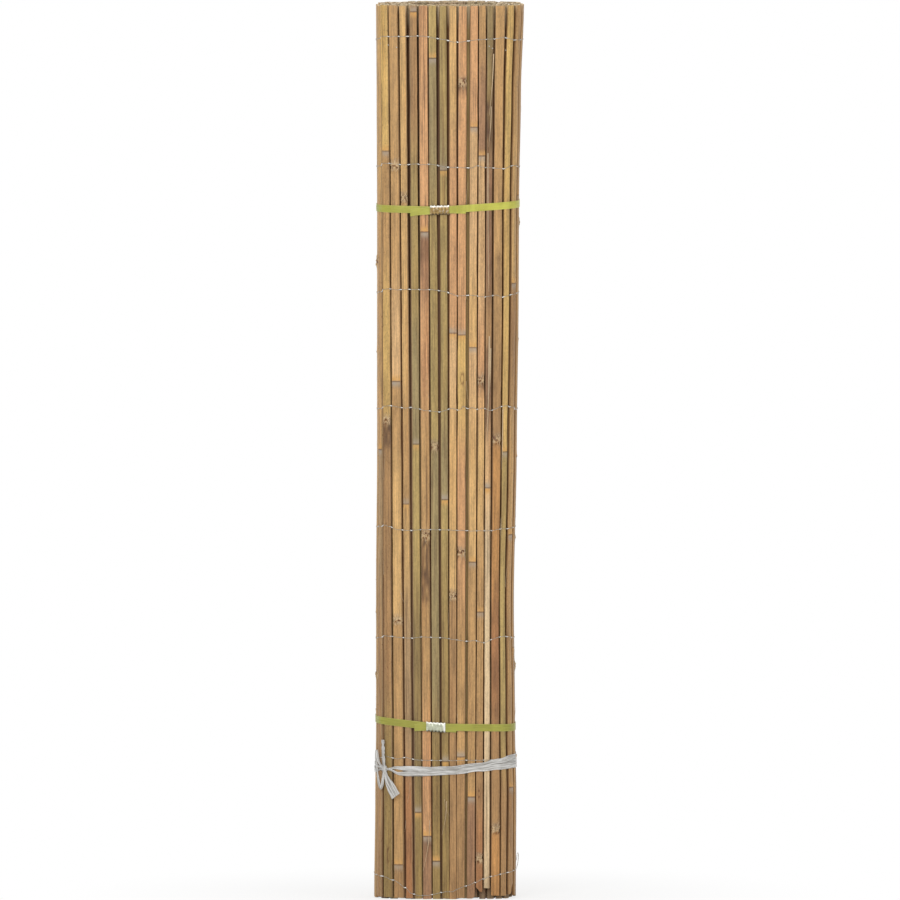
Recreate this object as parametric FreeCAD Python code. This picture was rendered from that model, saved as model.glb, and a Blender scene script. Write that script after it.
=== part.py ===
import FreeCAD
import Part
import math
import os
import random

os.makedirs("parts", exist_ok=True)

# Rolled mat, standing on its end with the middle of its base at the origin (mm)
HEIGHT = 1500.0
ROLL_WIDTH = 244.0
ROLL_DEPTH = 200.0
FRONT_SHARE = 0.38
FRONT_SQUARENESS = 5.0
BACK_SQUARENESS = 2.2
ROLL_SPREAD = 0.035
ROLL_LEAN = 2.5
ROLL_TWIST = -0.8
MAT_LENGTH = 5000.0
TURN_CLEARANCE = 0.42
END_RAGGEDNESS = 3.5

# Split bamboo slats, flat inside and slightly round on the skin side
SLAT_WIDTH = 12.4
SLAT_THICKNESS = 4.2
SLAT_BULGE = 0.9
SLAT_GAP = 2.8
NODE_RISE = 0.6
NODE_LENGTH = 5.0

# Binding wire, straps, seals and tie
WIRE_DIAMETER = 1.0
WIRE_SHARES = (0.033, 0.156, 0.291, 0.415, 0.547, 0.677, 0.818, 0.960)
STRAP_WIDTH = 12.0
STRAP_THICKNESS = 0.8
UPPER_STRAP_SHARE = 0.771
LOWER_STRAP_SHARE = 0.193
SEAL_LENGTH = 32.0
SEAL_WALL = 0.9
SEAL_HEIGHT = 16.5
TIE_SHARE = 0.143
TIE_WIDTH = 12.0
TIE_THICKNESS = 0.8
TIE_KNOT = 10.0
BINDING_CLEARANCE = 0.12

# Front slats from the middle to the right, then from the middle to the left: width and
# gap on the side they are counted from as shares of the mean ones, lift of the lower end,
# slide of the upper end, places of the bamboo nodes as shares of the height
FRONT_START = 2.5
FRONT_RIGHT = (
    (0.92, 1.10, 0.0, -1.0, (0.341, 0.633)),
    (1.12, 0.80, 1.5, 1.5, (0.389, 0.631, 0.915)),
    (1.07, 1.40, 1.0, 3.0, (0.115, 0.378, 0.618, 0.864)),
    (0.86, 0.80, 12.0, 2.0, (0.322, 0.582, 0.832)),
    (0.84, 0.90, 18.0, 1.0, (0.460,)),
    (1.18, 0.95, 5.5, 1.5, (0.079, 0.515)),
    (0.93, 1.00, 5.0, 3.0, (0.501,)),
    (1.08, 0.90, 6.5, 3.5, (0.408, 0.689)),
    (1.00, 0.70, 5.0, 3.0, (0.280, 0.787)),
)
FRONT_LEFT = (
    (0.96, 1.10, 0.5, -6.0, (0.447, 0.815)),
    (0.97, 1.40, 0.0, -7.0, (0.043, 0.508, 0.941)),
    (1.17, 1.00, 0.0, -7.0, (0.071, 0.408, 0.747)),
    (1.00, 0.80, 0.5, -8.5, (0.097, 0.509, 0.992)),
    (0.86, 1.30, 1.5, -10.0, (0.442,)),
    (1.18, 0.90, 2.0, -9.5, (0.039, 0.313, 0.580, 0.821)),
    (1.06, 0.80, 3.0, -8.0, (0.537, 0.837)),
    (1.05, 0.80, 3.0, -6.0, (0.503,)),
)

# The lowest wire has slipped: height against place across the front
DROOP = (
    (-1.0, 40.0), (-0.75, 33.0), (-0.54, 9.0), (-0.39, 4.0), (-0.02, 13.0),
    (0.22, 20.0), (0.54, 36.0), (1.0, 47.0),
)

# Slats with a node of their own, from the middle of the front: round the right side to
# the free end at the back, and round the left side to where the free end lies over them
RIGHT_NAMES = ["slat_%02d" % number for number in range(23, 0, -1)]
LEFT_NAMES = ["slat_%02d" % number for number in range(24, 47)]

half_width = ROLL_WIDTH / 2.0 - SLAT_THICKNESS - SLAT_BULGE
half_depth = ROLL_DEPTH / 2.0 - SLAT_THICKNESS - SLAT_BULGE
front_depth = ROLL_DEPTH * FRONT_SHARE
back_depth = ROLL_DEPTH - front_depth
inner_rise = SLAT_BULGE * 0.5
pitch = SLAT_THICKNESS + inner_rise + TURN_CLEARANCE + 0.3
wire_room = 0.8 * WIRE_DIAMETER
free_end = math.pi / 2.0
wire_heights = [HEIGHT * share for share in WIRE_SHARES]
upper_strap_height = HEIGHT * UPPER_STRAP_SHARE
lower_strap_height = HEIGHT * LOWER_STRAP_SHARE
tie_height = HEIGHT * TIE_SHARE


def path_point(angle):
    """Point on the spiral that the inner faces of the slats follow, flat-fronted and
    rounder behind."""
    inward = (angle - free_end) / (2.0 * math.pi) * pitch - SLAT_THICKNESS - SLAT_BULGE
    c, s = math.cos(angle), math.sin(angle)
    depth, squareness = (front_depth, FRONT_SQUARENESS) if s < 0.0 else (back_depth, BACK_SQUARENESS)
    x = (ROLL_WIDTH / 2.0 + inward) * math.copysign(abs(c) ** (2.0 / squareness), c)
    y = (depth + inward) * math.copysign(abs(s) ** (2.0 / squareness), s)
    return x, y - (back_depth - front_depth) / 2.0


def advance(angle, distance, way):
    """Angle at which the straight distance along the path is reached."""
    start = path_point(angle)
    low, high = 0.0, 1.2
    for _ in range(48):
        mid = (low + high) / 2.0
        x, y = path_point(angle + way * mid)
        if math.hypot(x - start[0], y - start[1]) < distance:
            low = mid
        else:
            high = mid
    return angle + way * high


class Slat:
    """One slat: mid-height place and directions of its cross-section."""

    def __init__(self, angle, width, way, rise, ends, nodes):
        self.end = advance(angle, width, way)
        first, last = path_point(min(angle, self.end)), path_point(max(angle, self.end))
        self.width = math.hypot(last[0] - first[0], last[1] - first[1])
        self.along = ((last[0] - first[0]) / self.width, (last[1] - first[1]) / self.width)
        self.out = (self.along[1], -self.along[0])
        self.place = ((first[0] + last[0]) / 2.0, (first[1] + last[1]) / 2.0)
        self.rise, self.nodes = rise, nodes
        self.lift, self.drop, self.slide = ends
        self.domed = rise == SLAT_BULGE
        self.covered = False

    def spot(self, u, v):
        """Plan position of a point of the cross-section."""
        x = self.place[0] + u * self.along[0] + v * self.out[0]
        y = self.place[1] + u * self.along[1] + v * self.out[1]
        return x, y

    def outline(self):
        half, top = self.width / 2.0, SLAT_THICKNESS
        if self.domed:
            return [(-half, 0.0), (half, 0.0), (half, top), (0.0, top + self.rise), (-half, top)]
        return [(-half, 0.0), (half, 0.0), (half, top + self.rise), (-half, top + self.rise)]

    def push(self, earlier, rooms):
        """Move outward until the slat rests just inside the turn around it."""
        half, best = self.width / 2.0 + 0.1 * SLAT_WIDTH, None
        top = SLAT_THICKNESS + self.rise
        for other, room in zip(earlier, rooms):
            dx, dy = other.place[0] - self.place[0], other.place[1] - self.place[1]
            if dx * dx + dy * dy > 2.5 * SLAT_WIDTH * SLAT_WIDTH:
                continue
            ends = []
            for u in (-other.width / 2.0, other.width / 2.0):
                x, y = other.spot(u, 0.0)
                x, y = x - self.place[0], y - self.place[1]
                ends.append((x * self.along[0] + y * self.along[1],
                             x * self.out[0] + y * self.out[1]))
            (u0, v0), (u1, v1) = sorted(ends)
            if u1 < -half or u0 > half or min(v0, v1) < 0.3 * SLAT_THICKNESS:
                continue
            for u in (max(u0, -half), min(u1, half)):
                gap = v0 + (v1 - v0) * (u - u0) / (u1 - u0) - top - room
                best = gap if best is None else min(best, gap)
        if best is not None:
            self.covered = True
            self.place = self.spot(0.0, best)


def lean(place, z):
    """Sideways shift at height z: the roll opens upward, leans and is slightly twisted."""
    share = z / HEIGHT - 0.5
    turn = math.radians(ROLL_TWIST)
    x = share * (ROLL_SPREAD * place[0] - turn * place[1] + ROLL_LEAN)
    y = share * (ROLL_SPREAD * place[1] + turn * place[0])
    return x - 0.35 * ROLL_LEAN, y


def world(slat, u, v, z):
    x, y = slat.spot(u + slat.slide * (z / HEIGHT - 0.5), v)
    dx, dy = lean(slat.place, z)
    return FreeCAD.Vector(x + dx, y + dy, z)


def prism(slat, outline, low, high):
    """Leaning bar of the given cross-section between two heights."""
    points = [world(slat, u, v, low) for u, v in outline]
    face = Part.Face(Part.makePolygon(points + points[:1]))
    return face.extrude(world(slat, 0.0, 0.0, high) - world(slat, 0.0, 0.0, low))


def laid(angle, way, number, listed, rise):
    """The next slat along the path and the gap that follows it."""
    chance = random.Random(4100 * way + number)
    drop = END_RAGGEDNESS * chance.uniform(0.0, 0.7)
    if number < len(listed):
        share, _, lift, slide, nodes = listed[number]
    else:
        share = chance.uniform(0.82, 1.2)
        lift = max(0.0, END_RAGGEDNESS * chance.uniform(-0.3, 1.0))
        slide = listed[-1][3] * 0.8 ** (number + 1 - len(listed))
        first = chance.uniform(0.08, 0.42)
        nodes = (first, first + chance.uniform(0.30, 0.48))
    gap_share = listed[number + 1][1] if number + 1 < len(listed) else chance.uniform(0.6, 1.5)
    slat = Slat(angle, SLAT_WIDTH * share, way, rise, (lift, drop, slide), nodes)
    return slat, SLAT_GAP * gap_share


# From the middle of the front to the free end at the back
right = []
angle = advance(-math.pi / 2.0, FRONT_START, 1)
for number in range(len(RIGHT_NAMES)):
    slat, gap = laid(angle, 1, number, FRONT_RIGHT, SLAT_BULGE)
    right.append(slat)
    angle = advance(slat.end, gap, 1)

# From the middle of the front round to the left and on to the core
slats = right[::-1]
used = sum(s.width + SLAT_GAP for s in slats)
rooms = [wire_room] * len(slats)
angle = advance(advance(-math.pi / 2.0, FRONT_START, 1), SLAT_GAP * FRONT_LEFT[0][1], -1)
number = 0
while used < MAT_LENGTH:
    own = number < len(LEFT_NAMES)
    slat, gap = laid(angle, -1, number, FRONT_LEFT, SLAT_BULGE if own else inner_rise)
    slat.push(slats[:-1], rooms[:-1])
    rooms.append(wire_room if own else TURN_CLEARANCE)
    slats.append(slat)
    used += slat.width + gap
    angle = advance(slat.end, gap, -1)
    number += 1

names = RIGHT_NAMES[::-1] + LEFT_NAMES
outer = slats[:len(names)]
turn = [slat for slat in slats if not slat.covered]


def hull(points):
    """Convex outline of plan points, anticlockwise."""
    points = sorted(set(points))
    chains = []
    for order in (points, points[::-1]):
        chain = []
        for p in order:
            while len(chain) > 1:
                (ax, ay), (bx, by) = chain[-2], chain[-1]
                if (bx - ax) * (p[1] - ay) - (by - ay) * (p[0] - ax) > 1e-6:
                    break
                chain.pop()
            chain.append(p)
        chains.append(chain[:-1])
    return chains[0] + chains[1]


class Loop:
    """Closed convex path round the roll, walked leftward across the front."""

    def __init__(self, height, extra):
        points = []
        for slat in turn:
            for u, v in slat.outline()[2:]:
                p = world(slat, u, v, height)
                points.append((p.x, p.y))
        ring = hull(points + extra)[::-1]
        count = len(ring)
        first = max(range(count), key=lambda i: (ring[i][1] < 0.0, ring[i][0]))
        ring = ring[first:] + ring[:first]
        normals = []
        for i in range(count):
            a, b = ring[i], ring[(i + 1) % count]
            size = math.hypot(b[0] - a[0], b[1] - a[1])
            normals.append((-(b[1] - a[1]) / size, (b[0] - a[0]) / size))
        self.stops = []
        for i in range(count):
            n, m = normals[i - 1], normals[i]
            scale = 1.0 + n[0] * m[0] + n[1] * m[1]
            self.stops.append((ring[i], ((n[0] + m[0]) / scale, (n[1] + m[1]) / scale)))
        self.normals = normals

    def front(self, x):
        """Point and outward direction on the front part of the path."""
        count = len(self.stops)
        for i in range(count):
            a, b = self.stops[i][0], self.stops[(i + 1) % count][0]
            if b[0] <= x <= a[0] and (a[1] + b[1]) < 0.0:
                share = (x - a[0]) / (b[0] - a[0])
                return (x, a[1] + share * (b[1] - a[1])), self.normals[i]
        raise ValueError("the path has no front at this place")

    def middle(self, x):
        """Middle of the straight stretch of the front nearest to a place."""
        count = len(self.stops)
        choices = []
        for i in range(count):
            a, b = self.stops[i][0], self.stops[(i + 1) % count][0]
            if (a[1] + b[1]) < 0.0 and math.hypot(a[0] - b[0], a[1] - b[1]) > 0.8 * SLAT_WIDTH:
                point = ((a[0] + b[0]) / 2.0, (a[1] + b[1]) / 2.0)
                choices.append((abs(point[0] - x), point, self.normals[i]))
        return min(choices)[1:]

    def span(self, start, stop):
        """Stops on the front between two places, going left."""
        inside = [s for s in self.stops if stop < s[0][0] < start and s[0][1] < -0.3 * half_depth]
        inside.sort(key=lambda s: -s[0][0])
        return [self.front(start)] + inside + [self.front(stop)]

    def around(self, start):
        """Stops of the whole way round, from a place on the front back to it."""
        at, normal = self.front(start)
        count = len(self.stops)
        ahead = 0
        for i in range(count):
            a, b = self.stops[i][0], self.stops[(i + 1) % count][0]
            if b[0] <= start <= a[0] and (a[1] + b[1]) < 0.0:
                ahead = i + 1
        ring = [self.stops[(ahead + k) % count] for k in range(count)]
        return [(at, normal)] + [s for s in ring if abs(s[0][0] - start) > 0.5 or s[0][1] > 0.0]


def patch(points):
    """Flat facets over four corners: one where they lie in a plane, else two."""
    a, b, c, d = points
    normal = (b - a).cross(c - a)
    normal.normalize()
    if abs(normal.dot(d - a)) < 1e-6:
        return [Part.Face(Part.makePolygon([a, b, c, d, a]))]
    return [Part.Face(Part.makePolygon([a, b, c, a])), Part.Face(Part.makePolygon([a, c, d, a]))]


def swept(sections):
    """Solid through four-cornered sections, one after the other."""
    faces = patch(sections[0]) + patch(sections[-1])
    for one, two in zip(sections, sections[1:]):
        for k in range(4):
            faces += patch([one[k], one[k - 1], two[k - 1], two[k]])
    shell = Part.makeShell(faces)
    shell.sewShape()
    solid = Part.makeSolid(shell)
    if solid.Volume < 0.0:
        solid.reverse()
    return solid


def strip(stops, rises, levels, width, thickness):
    """Flat band standing on edge along the stops, at the given rises off the path."""
    sections = []
    for ((x, y), (nx, ny)), rise, level in zip(stops, rises, levels):
        corners = []
        for depth, side in ((0.0, -1), (thickness, -1), (thickness, 1), (0.0, 1)):
            px, py = x + nx * (rise + depth), y + ny * (rise + depth)
            corners.append(FreeCAD.Vector(px, py, level + side * width / 2.0))
        sections.append(corners)
    return swept(sections)


def strapped(middle, seal_x, inner_end, outer_end, left_slope, right_slope):
    """One strap with its seal: it rises from the seal to both sides, and its two ends
    run on straight through the seal, one over the other."""
    half = SEAL_LENGTH / 2.0
    bare = Loop(middle, [])
    seat = min(bare.front(seal_x + half * k / 4.0)[0][1] for k in range(-4, 5))
    back = seat - BINDING_CLEARANCE
    edge = back - SEAL_WALL
    loop = Loop(middle, [(seal_x - half, edge), (seal_x + half, edge)])
    low = BINDING_CLEARANCE
    high = low + STRAP_THICKNESS + BINDING_CLEARANCE
    first = loop.around(inner_end)
    ramp = loop.front(inner_end + 10.0)
    lead = [first[0]]
    for stop in first[1:]:
        if stop[0][1] > 0.0 or not -1.0 < stop[0][0] - inner_end < 10.5:
            lead.append(stop)
    over = loop.span(inner_end + 2.0, outer_end)

    def rise_at(x, slope):
        return middle + slope * (x - seal_x)

    left_side = rise_at(-half_width, left_slope)
    right_side = rise_at(half_width, right_slope)
    levels = []
    for number, ((x, y), _) in enumerate(lead):
        if y > 0.0:
            share = max(0.0, min(1.0, (x + half_width) / (2.0 * half_width)))
            levels.append(left_side + share * (right_side - left_side))
        elif x < seal_x or 2 * number < len(lead):
            levels.append(rise_at(x, left_slope))
        else:
            levels.append(rise_at(x, right_slope))
    stops = lead + [ramp] + over
    levels += [rise_at(x, right_slope) for (x, _), _ in [ramp] + over]
    rises = [low] * (len(lead) + 1) + [high] * len(over)
    band = strip(stops, rises, levels, STRAP_WIDTH, STRAP_THICKNESS)

    slot = 2.0 * STRAP_THICKNESS + 3.0 * BINDING_CLEARANCE
    depth = slot + 2.0 * SEAL_WALL
    tall = STRAP_WIDTH + 0.5 + abs(right_slope - left_slope) * half
    corner = FreeCAD.Vector(-half, -depth, -SEAL_HEIGHT / 2.0)
    body = Part.makeBox(SEAL_LENGTH, depth, SEAL_HEIGHT, corner)
    corner = FreeCAD.Vector(-half - 1.0, SEAL_WALL - depth, -tall / 2.0)
    hollow = Part.makeBox(SEAL_LENGTH + 2.0, slot, tall, corner)
    body = body.cut(hollow)
    bite = (SEAL_HEIGHT - tall) * 0.4
    for share in (-0.28, 0.0, 0.28):
        for side in (-1, 1):
            x = share * SEAL_LENGTH
            rim = side * (SEAL_HEIGHT / 2.0 + 0.1)
            points = [
                FreeCAD.Vector(x - 1.6, -depth - 0.1, rim),
                FreeCAD.Vector(x + 1.6, -depth - 0.1, rim),
                FreeCAD.Vector(x, -depth - 0.1, rim - side * (bite + 0.1)),
            ]
            wedge = Part.Face(Part.makePolygon(points + points[:1]))
            body = body.cut(wedge.extrude(FreeCAD.Vector(0.0, depth + 0.2, 0.0)))
    slope = math.degrees(math.atan((left_slope + right_slope) / 2.0))
    body.rotate(FreeCAD.Vector(0, 0, 0), FreeCAD.Vector(0, 1, 0), -slope)
    body.translate(FreeCAD.Vector(seal_x, back, middle))
    return band, body


def plate(points, origin, across, out, rise):
    """Flat tail of tape in the tangent plane of the roll."""
    corners = []
    for u, z in points:
        corners.append(FreeCAD.Vector(
            origin[0] + across[0] * u + out[0] * rise,
            origin[1] + across[1] * u + out[1] * rise,
            tie_height + z,
        ))
    face = Part.Face(Part.makePolygon(corners + corners[:1]))
    return face.extrude(FreeCAD.Vector(out[0], out[1], 0.0) * TIE_THICKNESS)


def tie():
    """Tape round the roll; its knot, bow loop and two tails are on the left."""
    loop = Loop(tie_height, [])
    at, out = loop.middle(-0.86 * half_width)
    across = (-out[1], out[0])
    half = TIE_KNOT / 2.0 + BINDING_CLEARANCE

    def level(x):
        return tie_height + 0.005 * HEIGHT * max(0.0, x / half_width) ** 2

    stops = [((at[0] - half * across[0], at[1] - half * across[1]), out)]
    stops += loop.around(at[0])[1:]
    stops.append(((at[0] + half * across[0], at[1] + half * across[1]), out))
    levels = [level(x) for (x, _), _ in stops]
    band = strip(stops, [BINDING_CLEARANCE] * len(stops), levels, TIE_WIDTH, TIE_THICKNESS)
    knot = Part.makeBox(TIE_KNOT, 6.0, 13.0, FreeCAD.Vector(-TIE_KNOT / 2.0, -6.0, -6.5))
    knot = knot.makeChamfer(1.8, knot.Edges)
    facing = math.degrees(math.atan2(across[1], across[0]))
    knot.rotate(FreeCAD.Vector(0, 0, 0), FreeCAD.Vector(0, 0, 1), facing)
    knot.translate(FreeCAD.Vector(at[0], at[1], tie_height))
    knot.translate(FreeCAD.Vector(out[0], out[1], 0.0) * BINDING_CLEARANCE)
    rise = BINDING_CLEARANCE + 2.6
    tail = plate([(-3.0, 0.0), (3.0, 0.0), (-0.5, 55.0), (-5.0, 57.0), (-6.5, 48.0)], at, across, out, rise)
    fan = plate([(-1.0, -2.0), (4.0, -1.0), (24.0, -40.0), (8.0, -48.0)], at, across, out, rise + 1.0)
    bow = plate([(-2.0, -3.0), (-3.5, -25.0), (-8.5, -33.0), (-13.5, -24.0), (-16.0, 16.0), (-2.0, 3.5)],
                at, across, out, rise + 0.4)
    eye = plate([(-5.5, -5.0), (-6.5, -22.0), (-8.5, -26.0), (-10.0, -22.0), (-12.0, 3.0)],
                at, across, out, rise + 0.4)
    return Part.makeCompound([band, knot.fuse([tail, fan, bow.cut(eye)])])


def droop(x, y):
    """Height of the lowest wire at a place on the roll."""
    share = max(-1.0, min(1.0, x / half_width))
    if y > 0.0:
        share = math.copysign(1.0, x)
    for (a, low), (b, high) in zip(DROOP, DROOP[1:]):
        if a <= share <= b:
            return low + (high - low) * (share - a) / (b - a)
    return wire_heights[0]


def wire(row):
    """Front strand of one wire row, laid over the outer slats from the free end round
    to where the mat passes under it."""
    height = wire_heights[row]
    loop = Loop(height, [])
    free = world(turn[0], 0.0, SLAT_THICKNESS, height)
    first = min(range(len(loop.stops)), key=lambda i: math.dist(loop.stops[i][0], (free.x, free.y)))
    stops = loop.stops[first:] + loop.stops[:first]
    ends = [math.dist(stops[k][0], stops[0][0]) for k in (1, -1)]
    if ends[0] > ends[1]:
        stops = stops[1:] + stops[:1]
    levels = [droop(x, y) if row == 0 else height for (x, y), _ in stops]
    rises = [BINDING_CLEARANCE * (2.0 if row == 0 else 1.0)] * len(stops)
    return strip(stops, rises, levels, WIRE_DIAMETER, WIRE_DIAMETER)


def clear_height(slat, share):
    """Height of a bamboo node, moved up where a binding passes over it."""
    half = NODE_LENGTH / 2.0
    busy = [(z, half + WIRE_DIAMETER + 1.0) for z in wire_heights[1:]]
    busy.append((droop(*slat.place), half + WIRE_DIAMETER + 4.0))
    busy.append((upper_strap_height + 5.0, half + SEAL_HEIGHT / 2.0 + 6.0))
    busy.append((lower_strap_height + 5.0, half + SEAL_HEIGHT / 2.0 + 9.0))
    busy.append((tie_height, half + TIE_WIDTH / 2.0 + 10.0))
    height = share * HEIGHT
    for z, room in sorted(busy):
        if abs(height - z) < room:
            height = z + room
    return height


def noded(slat):
    """Outer slat with the raised nodes of the bamboo across its skin."""
    top = HEIGHT - slat.drop
    bar = prism(slat, slat.outline(), slat.lift, top)
    half = slat.width / 2.0 - 0.4
    low, high = SLAT_THICKNESS - 0.5, SLAT_THICKNESS + NODE_RISE
    ridge = [(-half, low), (half, low), (half, high), (0.0, high + slat.rise), (-half, high)]
    for share in slat.nodes if not slat.covered else ():
        z = clear_height(slat, share)
        bar = bar.fuse(prism(slat, ridge, z - NODE_LENGTH / 2.0, z + NODE_LENGTH / 2.0))
    return bar


def save(name, shape):
    shape.exportStep("parts/" + name + ".step")


for name, slat in zip(names, outer):
    save(name, noded(slat))
save("inner_slats", Part.makeCompound(
    [prism(s, s.outline(), s.lift, HEIGHT - s.drop) for s in slats[len(names):]]))

for row in range(len(wire_heights)):
    save("wire_%d" % (row + 1), wire(row))

upper, upper_seal = strapped(upper_strap_height, -15.0, 29.0, -64.0, -0.02, 0.065)
lower, lower_seal = strapped(lower_strap_height, -21.5, 13.0, -57.0, -0.115, -0.015)
save("upper_strap", upper)
save("upper_seal", upper_seal)
save("lower_strap", lower)
save("lower_seal", lower_seal)
save("tie_tape", tie())
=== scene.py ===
"""Rolled mat of split bamboo, wired, strapped and tied, standing on its end."""
import bpy
import bmesh
import math
import random
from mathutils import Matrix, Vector, kdtree, noise


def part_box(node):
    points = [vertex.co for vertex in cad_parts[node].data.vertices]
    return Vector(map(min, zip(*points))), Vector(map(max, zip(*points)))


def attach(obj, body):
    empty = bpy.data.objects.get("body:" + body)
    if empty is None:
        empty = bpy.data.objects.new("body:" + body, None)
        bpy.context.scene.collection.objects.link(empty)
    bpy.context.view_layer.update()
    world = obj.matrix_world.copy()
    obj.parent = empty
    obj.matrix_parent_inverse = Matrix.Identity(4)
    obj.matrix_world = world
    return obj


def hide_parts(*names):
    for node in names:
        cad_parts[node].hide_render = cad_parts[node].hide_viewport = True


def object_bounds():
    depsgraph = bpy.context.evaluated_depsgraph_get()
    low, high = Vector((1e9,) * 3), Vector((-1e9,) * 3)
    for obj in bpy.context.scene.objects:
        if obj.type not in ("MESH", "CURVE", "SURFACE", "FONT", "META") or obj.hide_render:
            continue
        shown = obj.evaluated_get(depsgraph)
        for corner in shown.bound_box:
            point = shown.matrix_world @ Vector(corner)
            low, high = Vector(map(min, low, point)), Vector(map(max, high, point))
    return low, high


bl_info = {
    "name": "Rolled Bamboo Fence Panel",
    "version": (1, 0, 0),
    "blender": (4, 5, 0),
    "location": "3D View > Sidebar > Bamboo Roll",
    "description": "Dresses a rolled split-bamboo panel with its wires, straps, seals and tie tape",
    "category": "Add Mesh",
}

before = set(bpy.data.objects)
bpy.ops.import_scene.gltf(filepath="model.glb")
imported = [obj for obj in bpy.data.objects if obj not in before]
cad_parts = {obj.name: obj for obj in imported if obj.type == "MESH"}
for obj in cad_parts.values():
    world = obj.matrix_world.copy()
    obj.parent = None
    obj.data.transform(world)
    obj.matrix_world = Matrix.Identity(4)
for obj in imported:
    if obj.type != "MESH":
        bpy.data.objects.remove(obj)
CAD_BOX = [list(corner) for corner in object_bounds()]
HEIGHT = CAD_BOX[1][2]
MM = 0.001
SLAT_NAMES = sorted(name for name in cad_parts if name.startswith("slat_"))
WIRE_NAMES = sorted(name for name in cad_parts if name.startswith("wire_"))

# Draw of the straps and splay of the ends: sideways shift (mm) of each side against the share of the height
LEFT_SIDE = ((0.0, -7.2), (0.11, -5.3), (0.2, -3.6), (0.335, -3.3), (0.505, -1.3), (0.78, -0.8),
             (0.9, -1.3), (1.0, -2.0))
RIGHT_SIDE = ((0.0, -3.6), (0.11, -3.3), (0.2, -6.3), (0.335, -9.0), (0.505, -5.0), (0.67, -3.0),
              (0.78, -3.0), (0.9, -0.7), (1.0, 3.7))

# The front shows 17 slats; counted from the left edge, the first is slat_31
FRONT_BASE, FRONT_SLATS = 32, 17
# Finish of the front slats from each share of the height up
FRONT_FINISH = {
    1: ((0.0, "brown"), (0.34, "drab"), (0.503, "tan"), (0.80, "straw")),
    2: ((0.0, "fern"), (0.2065, "brown"), (0.537, "honey"), (0.69, "tan"), (0.837, "honey")),
    3: ((0.0, "brown"), (0.039, "tan"), (0.313, "straw"), (0.50, "tan"), (0.58, "blush"), (0.68, "tan")),
    4: ((0.0, "rust"), (0.15, "drab"), (0.34, "straw"), (0.442, "tan"), (0.56, "straw")),
    5: ((0.0, "fern"), (0.097, "loden"), (0.34, "reed"), (0.509, "moss"), (0.65, "olive"), (0.84, "brown")),
    6: ((0.0, "plum"), (0.071, "rose"), (0.2, "tan"), (0.55, "rose"), (0.67, "plum"), (0.747, "rose")),
    7: ((0.0, "fern"), (0.2, "moss"), (0.508, "olive"), (0.80, "moss"), (0.941, "reed")),
    8: ((0.0, "fern"), (0.335, "reed"), (0.447, "moss"), (0.53, "olive"), (0.815, "moss"), (0.86, "olive")),
    9: ((0.0, "brown"), (0.341, "straw"), (0.55, "blush"), (0.633, "rose"), (0.85, "straw")),
    10: ((0.0, "brown"), (0.159, "tan"), (0.33, "rose"), (0.52, "honey"), (0.631, "rose")),
    11: ((0.0, "plum"), (0.115, "tan"), (0.378, "straw"), (0.55, "blush"), (0.618, "straw"), (0.70, "blush"),
         (0.864, "rose")),
    12: ((0.0, "rust"), (0.10, "brown"), (0.2, "tan"), (0.40, "straw"), (0.55, "rose"), (0.66, "blush"),
         (0.832, "plum"), (0.935, "tan")),
    13: ((0.0, "cream"), (0.44, "blush"), (0.52, "plum"), (0.60, "brown"), (0.68, "plum"), (0.84, "loden"),
         (0.94, "moss")),
    14: ((0.0, "copper"), (0.079, "brown"), (0.2, "rust"), (0.33, "copper"), (0.515, "brown"), (0.60, "tan")),
    15: ((0.0, "brown"), (0.15, "reed"), (0.501, "honey")),
    16: ((0.0, "brown"), (0.125, "tan"), (0.408, "straw"), (0.55, "brown"), (0.689, "straw"), (0.87, "tan")),
    17: ((0.0, "tan"),),
}
# Finishes to draw from for the other outer slats, and for the inner ones
FINISHES = ("straw", "tan", "tan", "rose", "rose", "olive", "moss", "reed", "brown", "honey", "blush", "fern",
            "plum")
CORE_FINISHES = ("straw", "tan", "rose", "olive", "brown", "honey", "cream", "reed")
# Front slats with many streaks, and with many specks
STREAKY, SPECKY = (6, 13), (2, 16)
# Nodes with the amber side above, by front slat and share of the height; the others have it below
AMBER_ABOVE = ((1, 0.503), (2, 0.837), (3, 0.58), (3, 0.039), (6, 0.747), (6, 0.071), (7, 0.941), (7, 0.043),
               (11, 0.864), (11, 0.618), (11, 0.378), (11, 0.115), (12, 0.832), (12, 0.322), (15, 0.501),
               (16, 0.689), (16, 0.408), (16, 0.125), (17, 0.787))
# Frayed knots, by front slat and share of the height
FRAYED = ((3, 0.821), (4, 0.785), (12, 0.582), (2, 0.537), (7, 0.508), (6, 0.408), (10, 0.389), (9, 0.341),
          (3, 0.313), (10, 0.915), (14, 0.515), (12, 0.046), (14, 0.079))
# Low nodes and scars with no ridge of their own in the solid
EXTRA_NODES = ((4, 0.785), (8, 0.154), (10, 0.159), (16, 0.125), (12, 0.046))
# Cracked scars: front slat, share of the height, place across, half width and half height (mm)
SCARS = ((10, 0.5825, 0.05, 2.6, 9.0), (12, 0.118, -0.1, 1.6, 6.0), (2, 0.049, 0.1, 1.6, 12.0))
# Dark stained stretches: front slat, from and to as shares of the height, depth of the stain
STAINS = ((6, 0.335, 0.403, 0.8), (13, 0.70, 0.80, 0.3), (13, 0.84, 0.895, 0.8), (2, 0.505, 0.533, 0.7),
          (14, 0.56, 0.72, 0.25), (10, 0.899, 0.913, 0.9), (3, 0.573, 0.577, 0.75), (12, 0.568, 0.579, 0.85),
          (6, 0.715, 0.745, 0.35), (6, 0.055, 0.068, 0.5), (13, 0.53, 0.62, 0.45), (4, 0.783, 0.789, 0.8),
          (14, 0.20, 0.27, 0.3), (14, 0.31, 0.36, 0.25))
# Loose ends of the upper wire that glint below its row: across the front and up (mm)
WIRE_ENDS = ((-111.7, 1434.0), (-100.0, 1432.5), (-86.5, 1429.0), (67.5, 1431.0), (73.0, 1427.5),
             (94.5, 1424.0))
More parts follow.
